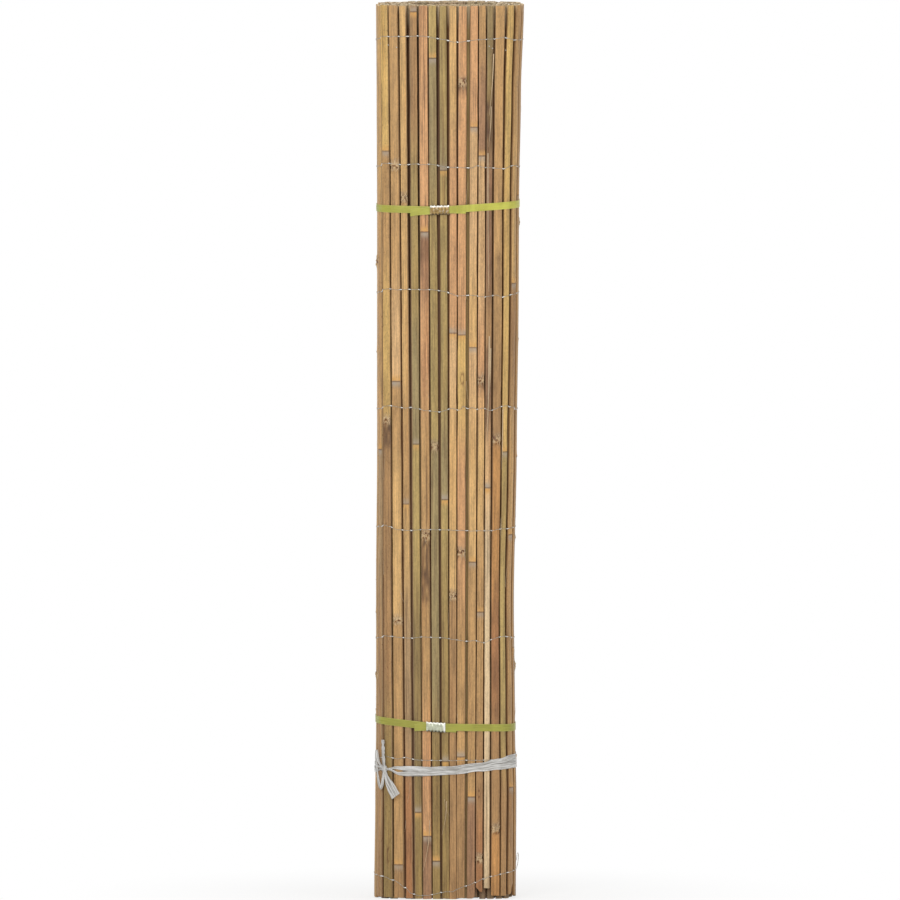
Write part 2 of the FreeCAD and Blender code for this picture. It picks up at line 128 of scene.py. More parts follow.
# Loop of the lowest wire: place across its slat, off the skin (mm) and height (m)
WIRE_LOOP = ((-0.3, 1.0, 0.050), (0.0, 2.2, 0.053), (0.25, 3.4, 0.061), (0.1, 4.0, 0.070),
             (-0.2, 3.0, 0.076), (-0.4, 1.4, 0.072), (-0.42, 0.6, 0.062))
# Gaps (mm across the front) through which a slat of the next turn catches the light
LIT_GAPS = (-85.5, -52.0, 34.5)
# Lower ends that are broken or sawn aslant: rise (mm) against place across the slat, by front slat
BROKEN = {
    1: ((-0.5, 3.0), (-0.1, 0.8), (0.5, 0.0)),
    11: ((-0.5, 0.0), (0.2, 0.0), (0.5, 3.5)),
    12: ((-0.5, 8.0), (-0.15, 4.5), (0.05, 0.5), (0.5, 0.0)),
    16: ((-0.5, 0.5), (0.0, 1.5), (0.12, 12.0), (0.5, 19.0)),
}
# Rise of the wire rows off their level (mm) against place across the front (mm)
WAVES = {
    2: ((-97, 5.4), (-85, 1.2), (-71, 4.5), (-60, 1.2), (-45, -1.2), (0, -1.0), (110, 0.0)),
    3: ((-122, 7.0), (-106, 5.9), (-75, 3.0), (-60, 1.7), (-46, 3.9), (-6, 2.2), (9, -0.3), (26, -3.4),
        (44, -2.5), (60, -6.2), (71, -1.2), (86, 3.0), (103, 5.0)),
    4: ((-122, 8.0), (-111, 7.0), (-97, 4.0), (-85, -2.0), (-61, -3.9), (-53, -2.0), (-6, -2.0), (39, -3.9),
        (78, -3.4), (90, -1.2), (105, -0.5)),
    5: ((-120, 2.9), (-108, 6.2), (-93, 7.0), (-71, 3.4), (-63, 5.5), (-40, -0.5), (-14, -2.2), (6, 3.9),
        (18, -0.5), (26, 8.0), (31, 1.3), (41, 5.5), (47, 1.3), (58, 4.2), (71, -0.5), (85, 5.0), (97, 7.5),
        (108, 5.5), (115, 8.0)),
    6: ((-120, 7.0), (-95, 8.0), (-85, 6.7), (-66, 8.0), (-51, 8.0), (-30, 7.5), (-6, 4.7), (2, 2.0),
        (14, -3.7), (38, -1.7), (60, -5.5), (81, -0.8), (90, -5.5), (103, -2.0), (115, -0.8)),
    7: ((-122, 8.0), (-100, 7.2), (-71, 4.7), (-53, 6.7), (-45, 4.5), (-29, 6.2), (-6, 1.2), (39, -0.3),
        (48, 3.9), (57, 1.2), (78, -0.5), (93, -1.7), (108, 3.9), (120, 6.7)),
    8: ((-122, 6.7), (-76, 6.7), (-50, 8.0), (-38, 7.0), (-21, 3.9), (-6, 2.2), (5, -1.7), (18, -2.5),
        (37, 0.0), (55, 1.7), (78, 3.0), (90, 5.4), (103, 1.2), (126, 0.0)),
}
# First numbers of the random draws, and the span of a slat's own seed
SLAT_DRAW, CORE_DRAW, WIRE_DRAW, FIBRE_DRAW = 900, 77, 300, 12
SEED_SPAN = 50.0
# A table row names the node within this share of the height
NODE_MATCH = 0.012
# Cross-sections near a node (m): steps either way, room kept free of others, reach of its marks
NODE_STEPS = (0.0004, 0.0012, 0.0022, 0.0034, 0.005, 0.0075, 0.011, 0.016)
NODE_ROOM, NODE_REACH = 0.018, 0.06
# Step in from the ends of a slat (m), and its corners
END_STEP, SLAT_COLUMNS = 0.0012, 17


def srgb(red, green, blue):
    """Linear colour from the usual 0 to 255 values."""
    shares = [c / 255.0 for c in (red, green, blue)]
    return tuple(c / 12.92 if c <= 0.04045 else ((c + 0.055) / 1.055) ** 2.4 for c in shares)


def tint(label, red, green, blue):
    return bpy.props.FloatVectorProperty(
        name=label, description="Colour of the %s finish" % label.lower(), subtype="COLOR",
        size=3, min=0.0, max=1.0, default=srgb(red, green, blue))


def length(label, about, millimetres):
    return bpy.props.FloatProperty(
        name=label, description=about, default=millimetres * MM, unit="LENGTH", precision=5)


def share(label, about, value):
    return bpy.props.FloatProperty(name=label, description=about, default=value, subtype="FACTOR")


def power(label, about, watts):
    return bpy.props.FloatProperty(name=label, description=about, default=watts, unit="POWER")


class BambooFinish(bpy.types.PropertyGroup):
    """Colours of the split bamboo."""
    straw: tint("Straw", 202, 162, 105)
    honey: tint("Honey", 204, 167, 101)
    tan: tint("Tan", 184, 144, 93)
    rose: tint("Rose", 200, 151, 104)
    blush: tint("Blush", 207, 167, 117)
    drab: tint("Drab", 169, 138, 98)
    olive: tint("Olive", 163, 139, 86)
    moss: tint("Moss", 151, 132, 90)
    reed: tint("Reed", 174, 148, 91)
    fern: tint("Fern", 150, 124, 74)
    loden: tint("Loden", 138, 115, 71)
    brown: tint("Brown", 165, 127, 83)
    copper: tint("Copper", 184, 134, 79)
    rust: tint("Rust", 163, 114, 73)
    plum: tint("Plum", 157, 118, 85)
    cream: tint("Cream", 212, 185, 145)
    umber: tint("Umber", 88, 62, 40)
    wax: tint("Wax", 168, 152, 132)
    amber: tint("Amber", 212, 160, 90)
    ridge: tint("Ridge", 92, 60, 36)
    # Dark is the colour of the specks and streaks, and also of the painted shade on hidden faces of the slats
    # and on the inner turns
    dark: tint("Dark", 92, 50, 20)
    core: tint("Core", 120, 88, 54)
    # Cut is the colour of the sawn ends; the inner slats also take it as painted light near their ends
    cut: tint("Cut", 252, 234, 198)


class BambooShape(bpy.types.PropertyGroup):
    """Sizes of the worked detail on the slats."""
    station: length("Station", "Spacing of the cross-sections along a slat", 14.0)
    spread: length("Spread", "How far each edge of a slat stands beyond its plain width", 0.6)
    wander: length("Edge wander", "How far a split edge runs off its line", 0.34)
    bevel_low: length("Least bevel", "Narrowest sloped side of a slat", 0.25)
    bevel_high: length("Most bevel", "Widest sloped side of a slat", 2.2)
    rise: length("Skin rise", "Crown of the skin above its edges", 0.9)
    node_rise: length("Node rise", "Height of the ridge at a bamboo node", 0.75)
    ragged: length("Ragged end", "Roughness of the sawn ends", 0.7)
    fray: length("Fray", "Lift of the torn skin at a frayed knot", 2.2)


class BindingLooks(bpy.types.PropertyGroup):
    """Sizes and colours of the wires, straps, seals and tape."""
    wire_radius: length("Wire radius", "Radius of one strand of wire", 0.5)
    fibre_radius: length("Fibre radius", "Radius of a stray fibre", 0.22)
    strap_width: length("Strap width", "Width of the plastic strap", 12.0)
    strap_thickness: length("Strap thickness", "Thickness of the plastic strap", 0.8)
    # Zinc is also laid as the painted glint on the wire twists and the painted highlight along the seals' top
    # edges
    zinc: tint("Zinc", 232, 231, 227)
    zinc_dull: tint("Dull zinc", 172, 165, 152)
    strap: tint("Strap", 178, 177, 70)
    strap_worn: tint("Worn strap", 158, 155, 58)
    seal: tint("Seal", 150, 124, 78)
    seal_pale: tint("Pale seal", 172, 178, 146)
    tape: tint("Tape", 222, 221, 218)
    # Tape fold is the painted shade in the folds of the film
    tape_fold_shade: tint("Tape fold", 160, 156, 149)
    fibre: tint("Fibre", 228, 200, 160)


class StudioLooks(bpy.types.PropertyGroup):
    """Camera and light of the picture."""
    elevation: bpy.props.FloatProperty(
        name="Elevation", description="Height of the camera above the level view",
        default=math.radians(3.4), subtype="ANGLE")
    distance: length("Distance", "Camera to the middle of the roll", 40000.0)
    frame_height: length("Frame height", "Height of the picture at the roll", 1510.3)
    side_shift: length("Side shift", "Sideways place of the view's middle", 2.4)
    ambient: share("Ambient", "Strength of the light from all round", 0.49)
    key: power("Key", "Power of the main lamp", 80.0)
    fill: power("Fill", "Power of each of the other lamps", 28.0)
    floor: tint("Floor", 243, 243, 242)


def ramp(low, high, x):
    """Straight rise from 0 to 1, level before and after."""
    return max(0.0, min(1.0, (x - low) / (high - low)))


def smooth(low, high, x):
    """Smooth step from 0 to 1."""
    t = ramp(low, high, x)
    return t * t * (3.0 - 2.0 * t)


def read_stops(stops, x, step=ramp):
    """Reading of a list of places and values, straight or by another step between them."""
    for (a, first), (b, second) in zip(stops, stops[1:]):
        if x <= b:
            return first + (second - first) * step(a, b, x)
    return stops[-1][1]


def waisted(point):
    """The straps draw the sides of the roll in and its ends splay out again."""
    at = point.z / HEIGHT
    left = read_stops(LEFT_SIDE, at, smooth) * smooth(-0.060, -0.121, point.x)
    right = read_stops(RIGHT_SIDE, at, smooth) * smooth(0.050, 0.121, point.x)
    return Vector((point.x + (left + right) * MM, point.y, point.z))


def listed(table, slat, at):
    """Whether a table names a front slat near a share of the height."""
    return any(row[0] == slat and abs(row[1] - at) < NODE_MATCH for row in table)


def distinct(points):
    """Points without their repeats."""
    kept = {}
    for p in points:
        kept.setdefault((round(p.x, 6), round(p.y, 6), round(p.z, 6)), p.copy())
    return list(kept.values())


class Bar:
    """Place, directions, size and node heights of one slat, read from its solid."""

    def __init__(self, points):
        points = distinct(points)
        self.low = min(p.z for p in points)
        self.high = max(p.z for p in points)
        foot = [p for p in points if p.z < self.low + 1e-5]
        head = [p for p in points if p.z > self.high - 1e-5]
        middle = sum(foot, Vector()) / len(foot)
        self.lean = (sum(head, Vector()) / len(head) - middle) / (self.high - self.low)
        offsets = [p - middle for p in foot]
        spread = sum(d.x * d.x - d.y * d.y for d in offsets)
        cross = sum(2.0 * d.x * d.y for d in offsets)
        turn = 0.5 * math.atan2(cross, spread)
        self.along = Vector((math.cos(turn), math.sin(turn), 0.0))
        if Vector((self.along.y, -self.along.x, 0.0)).dot(middle) < 0.0:
            self.along.negate()
        self.out = Vector((self.along.y, -self.along.x, 0.0))
        us = [d.dot(self.along) for d in offsets]
        vs = [d.dot(self.out) for d in offsets]
        self.width = max(us) - min(us)
        self.thick = max(vs) - min(vs)
        self.foot = middle + self.along * (max(us) + min(us)) / 2.0 + self.out * min(vs)
        levels = sorted({round(p.z, 4) for p in points if self.low + 0.003 < p.z < self.high - 0.003})
        self.nodes = [(a + b) / 2.0 for a, b in zip(levels, levels[1:]) if 0.002 < b - a < 0.009]

    def at(self, u, v, z):
        return self.foot + self.lean * (z - self.low) + self.along * u + self.out * v


BARS = {name: Bar([v.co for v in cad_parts[name].data.vertices]) for name in SLAT_NAMES}
COVERED = tuple(name for name in SLAT_NAMES if not BARS[name].nodes)
TURN = [BARS[name] for name in reversed(SLAT_NAMES) if name not in COVERED]


def front_number(name):
    """Number of a front slat counted from the left edge of the roll, else 0."""
    count = FRONT_BASE - int(name[-2:])
    return count if 1 <= count <= FRONT_SLATS else 0


def front_bar(count):
    return BARS["slat_%02d" % (FRONT_BASE - count)]


# Shift of the patterns along the three axes for each unit of a slat's seed
SEED_SHIFT = (37.0, 11.0, 53.0)
# Patterns of split bamboo: stretch along the slat, scale, detail, roughness, reading from and to
CANE_PATTERNS = {
    "Mottle": (0.14, 110.0, 4.0, 0.6, 0.3, 0.7),
    "Streak": (0.011, 520.0, 2.0, 0.5, 0.56, 0.68),
    "Speck": (0.45, 640.0, 3.0, 0.6, 0.60, 0.70),
    "Patch": (0.05, 95.0, 3.0, 0.6, 0.45, 0.72),
    "Grain": (0.4, 480.0, 3.0, 0.65, 0.3, 0.7),
}
# Tints that multiply a slat's colour: flushed patches of the skin, shaded split sides
FLUSHED = (0.78, 0.60, 0.46)
SPLIT_SIDE = (0.66, 0.60, 0.54)
# Rate of the embossed lines on the straps, and the pale painted highlight along the rims of a strap
EMBOSS_RATE = 3000.0
STRAP_EDGE_HIGHLIGHT = srgb(208, 208, 120)
# Step between the crimps along a seal, and the painted shade in them
CRIMP_STEP = 0.0057
SEAL_CRIMP_SHADE = (0.07, 0.06, 0.045)


class Graph:
    """Short way to lay nodes in a shader tree."""

    def __init__(self, tree):
        self.tree = tree

    def node(self, kind, *values, **settings):
        """New node with its settings and the values of its first inputs."""
        made = self.tree.nodes.new("ShaderNode" + kind)
        for key, value in settings.items():
            setattr(made, key, value)
        for socket, value in zip(made.inputs, values):
            self.put(socket, value)
        return made

    def put(self, socket, value):
        """Link or set one input; a colour may come without its alpha."""
        if isinstance(value, bpy.types.NodeSocket):
            self.tree.links.new(value, socket)
        elif socket.type == "RGBA":
            socket.default_value = (*value, 1.0)[:4]
        else:
            socket.default_value = value

    def math(self, operation, *values):
        return self.node("Math", *values, operation=operation).outputs[0]

    def plus(self, a, b):
        return self.math("ADD", a, b)

    def times(self, a, b):
        return self.math("MULTIPLY", a, b)

    def fitted(self, value, factor, offset):
        return self.math("MULTIPLY_ADD", value, factor, offset)

    def weighed(self, a, part_a, b, part_b):
        return self.plus(self.times(a, part_a), self.times(b, part_b))

    def between(self, x, low, high, first=0.0, last=1.0):
        """Smooth change from first to last while x goes from low to high."""
        return self.node("MapRange", x, low, high, first, last, interpolation_type="SMOOTHSTEP").outputs[0]

    def mix(self, amount, a, b, blend="MIX"):
        made = self.node("Mix", amount, data_type="RGBA", blend_type=blend)
        self.put(made.inputs[6], a)
        self.put(made.inputs[7], b)
        return made.outputs[2]

    def layered(self, colour, layers):
        """Colour with others laid over it, each by its own amount."""
        for amount, over in layers:
            colour = self.mix(amount, colour, over)
        return colour

    def shaded(self, colour, value):
        """Colour times a brightness."""
        gray = self.node("CombineColor", value, value, value).outputs[0]
        return self.mix(1.0, colour, gray, "MULTIPLY")

    def attribute(self, name):
        return self.node("Attribute", attribute_name=name).outputs

    def place(self):
        return self.node("TexCoord").outputs["Object"]

    def seen(self):
        """1 for rays from the camera, off a gloss or through a film, and 0 for those that carry light."""
        rays = self.node("LightPath").outputs
        shown = self.math("MAXIMUM", rays["Is Camera Ray"], rays["Is Glossy Ray"])
        return self.math("MAXIMUM", shown, rays["Is Transmission Ray"])

    def noise(self, vector, scale, detail=2.0, roughness=0.55):
        made = self.node("TexNoise", vector)
        made.inputs["Scale"].default_value = scale
        made.inputs["Detail"].default_value = detail
        made.inputs["Roughness"].default_value = roughness
        return made.outputs["Fac"]

    def stretched(self, vector, scale, seed=None):
        """Vector scaled along its axes and, with a seed, shifted by it."""
        made = self.node("Mapping", vector)
        made.inputs["Scale"].default_value = scale
        if seed is None:
            return made.outputs[0]
        shift = self.node("CombineXYZ", *(self.times(seed, factor) for factor in SEED_SHIFT))
        return self.node("VectorMath", made.outputs[0], shift.outputs[0], operation="ADD").outputs[0]

    def fibres(self, seed):
        """Patterns of split bamboo, shifted by a slat's own seed."""
        made = self.node("Group", node_tree=cane_fibres())
        self.put(made.inputs["Seed"], seed)
        return made.outputs

    def surface(self, bump, inputs):
        """Fill in the Principled shader; the bump is a height, its distance and its strength."""
        shader = self.tree.nodes["Principled BSDF"]
        for key, value in inputs.items():
            self.put(shader.inputs[key], value)
        if bump:
            height, distance, strength = bump
            made = self.node("Bump")
            made.inputs["Distance"].default_value = distance
            made.inputs["Strength"].default_value = strength
            self.put(made.inputs["Height"], height)
            self.put(shader.inputs["Normal"], made.outputs["Normal"])


def cane_fibres():
    """Node group with the fibres, clouds, dark streaks, specks, flushed patches and fine grain."""
    name = "Cane fibres"
    if name in bpy.data.node_groups:
        return bpy.data.node_groups[name]
    tree = bpy.data.node_groups.new(name, "ShaderNodeTree")
    tree.interface.new_socket("Seed", in_out="INPUT", socket_type="NodeSocketFloat")
    for label in ("Fibre", *CANE_PATTERNS):
        tree.interface.new_socket(label, in_out="OUTPUT", socket_type="NodeSocketFloat")
    graph = Graph(tree)
    place = graph.place()
    seed = tree.nodes.new("NodeGroupInput").outputs["Seed"]
    result = tree.nodes.new("NodeGroupOutput")

    def pattern(stretch, *look):
        return graph.noise(graph.stretched(place, (1.0, 1.0, stretch), seed), *look)

    fibre = graph.weighed(pattern(0.012, 1500.0, 3.0, 0.65), 0.55, pattern(0.02, 420.0, 2.0), 0.45)
    graph.put(result.inputs["Fibre"], graph.between(fibre, 0.33, 0.67))
    for label, (*look, low, high) in CANE_PATTERNS.items():
        graph.put(result.inputs[label], graph.between(pattern(*look), low, high))
    return tree


def material(name):
    """Turn a function that lays a shader's nodes into one that gives the material, made once."""
    def wrap(lay):
        def given(looks):
            made = bpy.data.materials.get(name)
            if made is None:
                made = bpy.data.materials.new(name)
                made.use_nodes = True
                lay(Graph(made.node_tree), looks)
            return made
        return given
    return wrap


@material("Split bamboo")
def split_bamboo(graph, colours):
    """Skin and split sides of the outer slats, with their nodes, streaks and specks."""
    cane, marks, habit = (graph.attribute(key) for key in ("cane", "marks", "habit"))
    wax, amber, ridge = graph.node("SeparateColor", marks["Color"]).outputs[:3]
    streaky, specky, pale = graph.node("SeparateColor", habit["Color"]).outputs[:3]
    skin, depth = marks["Alpha"], habit["Alpha"]
    fibre, mottle, streak, speck, patch, grain = graph.fibres(cane["Alpha"])[:6]

    tone = graph.plus(graph.fitted(fibre, 0.48, 0.47), graph.times(mottle, 0.36))
    face = graph.shaded(cane["Color"], graph.fitted(grain, 0.26, tone))
    cloudy = graph.fitted(mottle, 0.6, 0.5)
    face = graph.layered(face, (
        (graph.times(graph.times(patch, streaky), 0.8), graph.mix(1.0, face, FLUSHED, "MULTIPLY")),
        (graph.times(streak, streaky), colours.ridge),
        (graph.times(speck, specky), colours.dark),
        (graph.times(wax, cloudy), colours.wax),
        (graph.times(amber, cloudy), colours.amber),
        (ridge, colours.ridge)))

    # Pale turns the split sides cream: their own paleness, frayed fibres, and painted light near the head
    split = graph.mix(pale, graph.mix(1.0, cane["Color"], SPLIT_SIDE, "MULTIPLY"),
                      graph.mix(0.8, cane["Color"], colours.cream))
    split = graph.layered(graph.shaded(split, graph.fitted(fibre, 0.65, 0.62)), (
        (graph.times(streak, 0.4), colours.ridge), (graph.times(speck, 0.85), colours.dark)))
    rough = graph.math("SUBTRACT", 0.86, graph.times(skin, 0.40))
    # Depth lays painted shade in the dark colour on the hidden faces and hollows
    graph.surface((graph.weighed(fibre, 0.6, mottle, 0.4), 0.0004, 0.5), {
        "Base Color": graph.mix(graph.times(depth, 0.9), graph.mix(skin, split, face), colours.dark),
        "Roughness": graph.fitted(mottle, 0.10, rough),
        "Specular IOR Level": 0.4})


@material("Cut bamboo")
def cut_bamboo(graph, colours):
    """Sawn ends, with the dots of the cut fibres."""
    place = graph.place()
    cells = graph.node("TexVoronoi", place)
    cells.inputs["Scale"].default_value = 1300.0
    dots = graph.between(cells.outputs["Distance"], 0.22, 0.42, 1.0, 0.0)
    cloud = graph.noise(place, 260.0, 3.0, 0.6)
    base = graph.mix(0.62, graph.attribute("cane")["Color"], colours.cut)
    base = graph.shaded(base, graph.between(cloud, 0.3, 0.7, 0.86, 1.12))
    graph.surface((graph.math("SUBTRACT", cloud, dots), 0.0004, 0.6), {
        "Base Color": graph.mix(graph.times(dots, 0.28), base, colours.ridge),
        "Roughness": graph.between(cloud, 0.3, 0.7, 0.92, 0.74)})


@material("Core bamboo")
def core_bamboo(graph, colours):
    """Slats inside the roll, seen only through the gaps and from the ends."""
    cane = graph.attribute("cane")
    fibre, mottle, streak = graph.fibres(cane["Alpha"])[:3]
    colour = graph.shaded(cane["Color"], graph.fitted(fibre, 0.5, 0.55))
    graph.surface((fibre, 0.0004, 0.5), {
        "Base Color": graph.mix(graph.times(streak, 0.5), colour, colours.dark),
        "Roughness": graph.fitted(mottle, 0.15, 0.7)})


@material("Wire zinc")
def galvanised(graph, looks):
    """Zinc coating, duller where the wire lies on a slat, with a painted glint where it is twisted."""
    place = graph.place()
    cloud = graph.noise(place, 420.0, 4.0, 0.6)
    fine = graph.noise(place, 2900.0, 2.0, 0.5)
    # Painted glint: bright zinc where the strand is thick, at the twists and loose ends
    glint = graph.between(graph.plus(graph.attribute("girth")["Fac"], graph.times(cloud, 0.8)), 1.1, 1.8)
    shade = graph.plus(graph.between(cloud, 0.3, 0.7, 0.72, 1.0), graph.times(fine, 0.12))
    graph.surface((fine, 0.0002, 0.3), {
        "Base Color": graph.shaded(graph.mix(glint, looks.zinc_dull, looks.zinc), shade),
        "Metallic": 0.85,
        "Roughness": graph.between(glint, 0.0, 1.0, 0.5, 0.24)})


@material("Strap plastic")
def strap_plastic(graph, looks):
    """Embossed yellow-green plastic strap with rubbed, duller stretches."""
    run = graph.attribute("run")["Vector"]
    along, across, light = graph.node("SeparateXYZ", run).outputs
    first, second = (graph.math("SINE", graph.times(graph.math(way, along, across), EMBOSS_RATE))
                     for way in ("ADD", "SUBTRACT"))
    lanes = graph.noise(graph.stretched(run, (0.04, 1.0, 1.0)), 900.0, 3.0)
    worn = graph.between(graph.weighed(lanes, 0.5, graph.noise(run, 22.0, 3.0), 0.5), 0.38, 0.62)
    # Light is each strap's brightness, with the painted sheen right of the upper seal
    colour = graph.shaded(graph.mix(worn, looks.strap, looks.strap_worn), light)
    # Painted highlight along both rims of the strap
    rim = graph.between(graph.math("ABSOLUTE", across), 0.0049, 0.0058)
    graph.surface((graph.fitted(graph.times(first, second), 0.5, lanes), 0.00025, 0.5), {
        "Base Color": graph.mix(graph.times(rim, 0.35), colour, STRAP_EDGE_HIGHLIGHT),
        "Roughness": graph.between(worn, 0.0, 1.0, 0.36, 0.52)})


@material("Seal steel")
def seal_steel(graph, looks):
    """Crimped steel seal: scratched face, painted highlight along its top edge, painted shade in the crimps
    below.
    """
    run = graph.attribute("run")["Vector"]
    along, up, pale = graph.node("SeparateXYZ", run).outputs
    scratch = graph.noise(graph.stretched(run, (0.05, 1.0, 1.0)), 1500.0, 3.0, 0.6)
    cloud = graph.noise(run, 240.0, 3.0, 0.6)
    # Painted highlight: zinc along the top edge; the same zinc lies over the paler right end of the lower
    # seal
    bright = graph.math("MAXIMUM", graph.times(graph.between(up, 0.0040, 0.0060), 0.8), pale)
    notch = graph.math("COSINE", graph.times(along, 2.0 * math.pi / CRIMP_STEP))
    # Painted shade in the crimps along the lower edge
    gloom = graph.times(graph.between(up, -0.0046, -0.0066), graph.between(notch, -0.2, 0.6, 0.5, 0.95))
    face = graph.mix(graph.between(pale, 0.0, 0.2), looks.seal, looks.seal_pale)
    face = graph.shaded(face, graph.between(scratch, 0.35, 0.65, 0.62, 1.15))
    graph.surface((scratch, 0.0003, 0.4), {
        "Base Color": graph.layered(face, ((graph.between(cloud, 0.5, 0.75, 0.0, 0.4), looks.zinc),
                                           (bright, looks.zinc), (gloom, SEAL_CRIMP_SHADE))),
        "Metallic": 0.9,
        "Roughness": graph.between(scratch, 0.3, 0.7, 0.30, 0.48)})


@material("Tape film")
def tape_film(graph, looks):
    """Thin pale film, folded and crumpled along its length, with painted shade in its folds."""
    run = graph.attribute("run")["Vector"]
    folds = graph.noise(graph.stretched(run, (0.03, 1.0, 1.0)), 620.0, 3.0, 0.65)
    creases = graph.noise(graph.stretched(run, (0.25, 1.0, 1.0)), 200.0, 3.0, 0.6)
    mixed = graph.weighed(folds, 0.72, creases, 0.28)
    graph.surface((mixed, 0.0006, 0.5), {
        # Painted shade: the folds darken toward the fold colour
        "Base Color": graph.mix(graph.between(mixed, 0.36, 0.58), looks.tape_fold_shade, looks.tape),
        "Roughness": graph.between(mixed, 0.3, 0.7, 0.30, 0.48),
        "Alpha": graph.between(mixed, 0.3, 0.7, 0.70, 0.94)})


@material("Stray fibre")
def fibre_material(graph, looks):
    """Stray splinters and fibres of bamboo."""
    fibre, mottle = graph.fibres(0.4)[:2]
    tone = graph.fitted(mottle, 0.4, graph.fitted(fibre, 0.2, 0.5))
    graph.surface(None, {
        "Base Color": graph.shaded(looks.fibre, tone),
        "Roughness": graph.fitted(mottle, 0.2, 0.6)})


@material("Pale floor")
def pale_floor(graph, studio):
    """Floor that takes soft shadows near the roll and glows white farther out."""
    graph.surface(None, {"Base Color": studio.floor, "Roughness": 0.9, "Specular IOR Level": 0.1})
    away = graph.node("VectorMath", graph.place(), operation="LENGTH").outputs["Value"]
    white = graph.between(away, 0.15, 0.7, 0.75, 1.0)
    blend = graph.node("MixShader", graph.times(graph.seen(), white),
                       graph.tree.nodes["Principled BSDF"].outputs[0], graph.node("Emission").outputs[0])
    graph.put(graph.tree.nodes["Material Output"].inputs["Surface"], blend.outputs[0])


def linked(name, data):
    """New object in the scene's own collection."""
    made = bpy.data.objects.new(name, data)
    bpy.context.scene.collection.objects.link(made)
    return made


def placed(name, mesh, nodes):
    """Object from a mesh, riding on the roll and standing for its solids."""
    piece = linked(name, mesh)
    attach(piece, "root")
    if nodes:
        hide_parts(*nodes)
    return piece


def finished(name, bm, materials, nodes, angle=40.0):
    """Piece from a bmesh, smooth but for its sharp edges."""
    mesh = bpy.data.meshes.new(name)
    bm.to_mesh(mesh)
    bm.free()
    for look in materials:
        mesh.materials.append(look)
    mesh.shade_smooth()
    mesh.set_sharp_from_angle(angle=math.radians(angle))
    return placed(name, mesh, nodes)


def sheet(bm, columns, rows):
    """Vertices of a new grid, row by row."""
    made = bmesh.ops.create_grid(bm, x_segments=columns, y_segments=rows, size=1.0)["verts"]
    return [made[i:i + columns + 1] for i in range(0, len(made), columns + 1)]


def welded(bm, nearness, cap):
    """Close a swept skin along its seam and cap its ends with a material."""
    bmesh.ops.remove_doubles(bm, verts=bm.verts, dist=nearness)
    rims = [edge for edge in bm.edges if edge.is_boundary]
    for face in bmesh.ops.holes_fill(bm, edges=rims, sides=0)["faces"]:
        face.material_index = cap
    bmesh.ops.recalc_face_normals(bm, faces=bm.faces)


def ripple(seed, z, rate):
    """Smooth noise along the height, from about -1 to 1."""
    return noise.noise(Vector((seed * 7.31 + 0.5, z * rate, seed * 1.7)))


def ragged(row, last, seed, u, rate):
    """Bite of the saw at a place across a slat: up at its foot and down at its head."""
    if row == 0:
        return abs(ripple(seed, u, rate))
    return -abs(ripple(seed + 2.0, u, rate)) if row == last else 0.0


def bell(x, width):
    return math.exp(-(x / width) ** 2)


def drawn_plan(chance):
    """Finish from each share of the height up, for a slat that the front doesn't show."""
    first = chance.choice(FINISHES)
    return ((0.0, first), (chance.uniform(0.3, 0.5), chance.choice(FINISHES)),
            (chance.uniform(0.6, 0.8), chance.choice((first,) + FINISHES)))


def stain_at(count, at):
    """Depth of the stain on a front slat at a share of the height."""
    return max((amount * smooth(low - 0.004, low + 0.003, at) * (1.0 - smooth(high - 0.003, high + 0.002, at))
                for slat, low, high, amount in STAINS if slat == count), default=0.0)


def edge_run(seed, z, wander):
    """How far a split edge stands in from its line at a height."""
    drift = ripple(seed, z, 7.0) * 0.55 + ripple(seed + 3.0, z, 31.0) * 0.3
    return wander * (0.35 + drift + 1.6 * smooth(0.35, 0.6, ripple(seed + 5.0, z, 16.0)))


